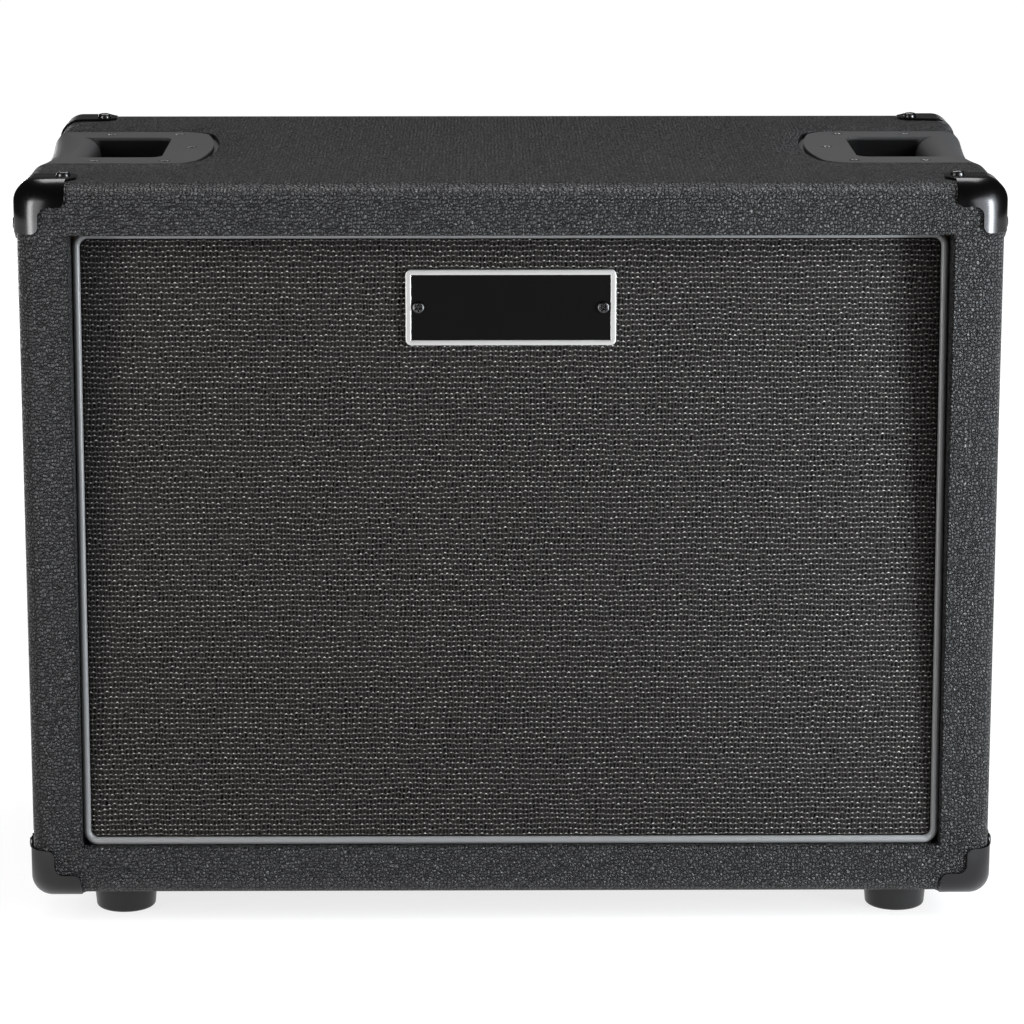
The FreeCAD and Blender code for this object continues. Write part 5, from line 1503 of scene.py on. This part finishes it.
def fitting_finishes(box: Box) -> dict[str, Finish]:
    """The finish of each slot that keeps its packed shape, set out from the box's corners."""
    return {
        "plywood": Plywood("plywood_birch"),
        "back_board": Moulded("back_board_paint", grey(0.010), grey(0.018), grain=1.2 * MM,
                              relief=0.10 * MM, roughness=0.55, spread=0.12, specular=0.35),
        "fastener_pad": Fibrous("hook_tape", grey(0.006), grey(0.03), length=1.2 * MM, relief=0.3 * MM,
                                roughness=0.9),
        "corner_metal": Pressed("corner_lacquer", grey(0.036, 0.001), grey(0.043, 0.001), grain=1.6 * MM,
                                relief=0.004 * MM, roughness=0.21, spread=0.03, metallic=1.0,
                                half=box.half.tolist(), middle=box.middle),
        "zinc_screw": Brushed("zinc_plate", grey(0.62, 0.01), grey(0.42, 0.02),
                              waves=(900.0, 900.0, 900.0), roughness=0.32),
        # the handle's pocket carries painted shade
        "handle_plastic": PocketShaded("handle_moulding", grey(0.042, 0.0005), grey(0.054, 0.0005),
                                   grain=0.45 * MM, relief=0.035 * MM, roughness=0.50, spread=0.10,
                                   specular=0.18, side=box.high[0], top=box.high[2]),
        "foot_rubber": Moulded("foot_rubber", grey(0.009), grey(0.016), grain=0.8 * MM, relief=0.02 * MM,
                               roughness=0.34, spread=0.12, specular=0.36),
        "jack_metal": Brushed("nickel", (0.70, 0.68, 0.64), (0.52, 0.50, 0.47),
                              waves=(700.0, 700.0, 700.0), roughness=0.18),
        "basket_steel": Moulded("basket_paint", grey(0.012), grey(0.022), grain=0.9 * MM,
                                relief=0.02 * MM, roughness=0.38, spread=0.10),
        "plated_steel": Brushed("passivated_plate", (0.60, 0.57, 0.44), (0.46, 0.44, 0.38),
                                waves=(800.0, 60.0, 800.0), roughness=0.3),
        "ferrite": Moulded("ferrite", grey(0.030, 0.001), grey(0.055, 0.001), grain=0.6 * MM,
                           relief=0.08 * MM, roughness=0.62, spread=0.15),
        "gasket": Fibrous("cork_gasket", (0.10, 0.065, 0.035), (0.04, 0.025, 0.014), length=2.0 * MM,
                          relief=0.2 * MM, roughness=0.9),
        "cone_paper": Fibrous("cone_pulp", grey(0.018), (0.045, 0.044, 0.042), length=4.0 * MM,
                              relief=0.10 * MM, roughness=0.85),
        "treated_cloth": Fibrous("doped_cloth", (0.030, 0.022, 0.012), (0.10, 0.075, 0.04),
                                 length=1.0 * MM, relief=0.10 * MM, roughness=0.7),
        "coil": Wound("coil_winding", (0.70, 0.34, 0.16), (0.16, 0.07, 0.03), pitch=0.35 * MM),
        "terminal_board": Moulded("terminal_laminate", (0.11, 0.055, 0.022), (0.17, 0.09, 0.04),
                                  grain=1.5 * MM, relief=0.03 * MM, roughness=0.5, spread=0.15),
        "lead": Moulded("lead_insulation", grey(0.010), grey(0.018), grain=1.0 * MM, relief=0.01 * MM,
                        roughness=0.4, spread=0.1),
        "clip": Moulded("clip_nylon", grey(0.45, -0.02), grey(0.60, -0.03), grain=1.0 * MM,
                        relief=0.02 * MM, roughness=0.42, spread=0.1),
    }


def main() -> None:
    """Builds the sub-assemblies in order and keeps the two boxes."""
    logging.basicConfig(level=logging.INFO, format="%(name)s: %(message)s")
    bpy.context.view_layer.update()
    box = Box(*np.array(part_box("vinyl_covering")))
    vinyl = PebbledVinyl("covering_vinyl", seam_start=box.high[0] - Covering.front_band,
                         seam_top=box.half[2] - Covering.front_band, middle=box.middle, front=box.low[1])
    Covering(vinyl, box).build()
    bead = Moulded("piping_vinyl", grey(0.17, 0.002), grey(0.22, 0.003), grain=1.2 * MM, relief=0.006 * MM,
                   roughness=0.34, spread=0.06)
    border = Brushed("badge_border", grey(0.70, -0.01), grey(0.58, -0.01), waves=(90.0, 2500.0, 2500.0),
                     roughness=0.42)
    field = Moulded("badge_field", grey(0.0012), grey(0.003), grain=0.6 * MM, relief=0.004 * MM,
                    roughness=0.40, spread=0.06, specular=0.08)
    slope = Slope(front=box.low[1] + GRILLE_RECESS, middle=box.middle)
    grille = Grille(slope, SpeckledWeave("grille_weave"), bead, border, field)
    grille.build()
    black = Moulded("screw_black_oxide", grey(0.045, 0.001), grey(0.075, 0.001), grain=0.5 * MM,
                    relief=0.01 * MM, roughness=0.26, spread=0.1, metallic=1.0)
    worn = Moulded("screw_worn_black", grey(0.16, 0.002), grey(0.34, 0.003), grain=0.5 * MM,
                   relief=0.02 * MM, roughness=0.24, spread=0.1, metallic=1.0)
    Fasteners(black, worn, grille, box).build()
    TinselLeads(Wound("tinsel_copper", (0.62, 0.36, 0.20), (0.2, 0.1, 0.05), pitch=0.6 * MM)).build()
    Fittings(fitting_finishes(box)).build()
    Studio(LAMPS).build()


if __name__ == "__main__":
    main()
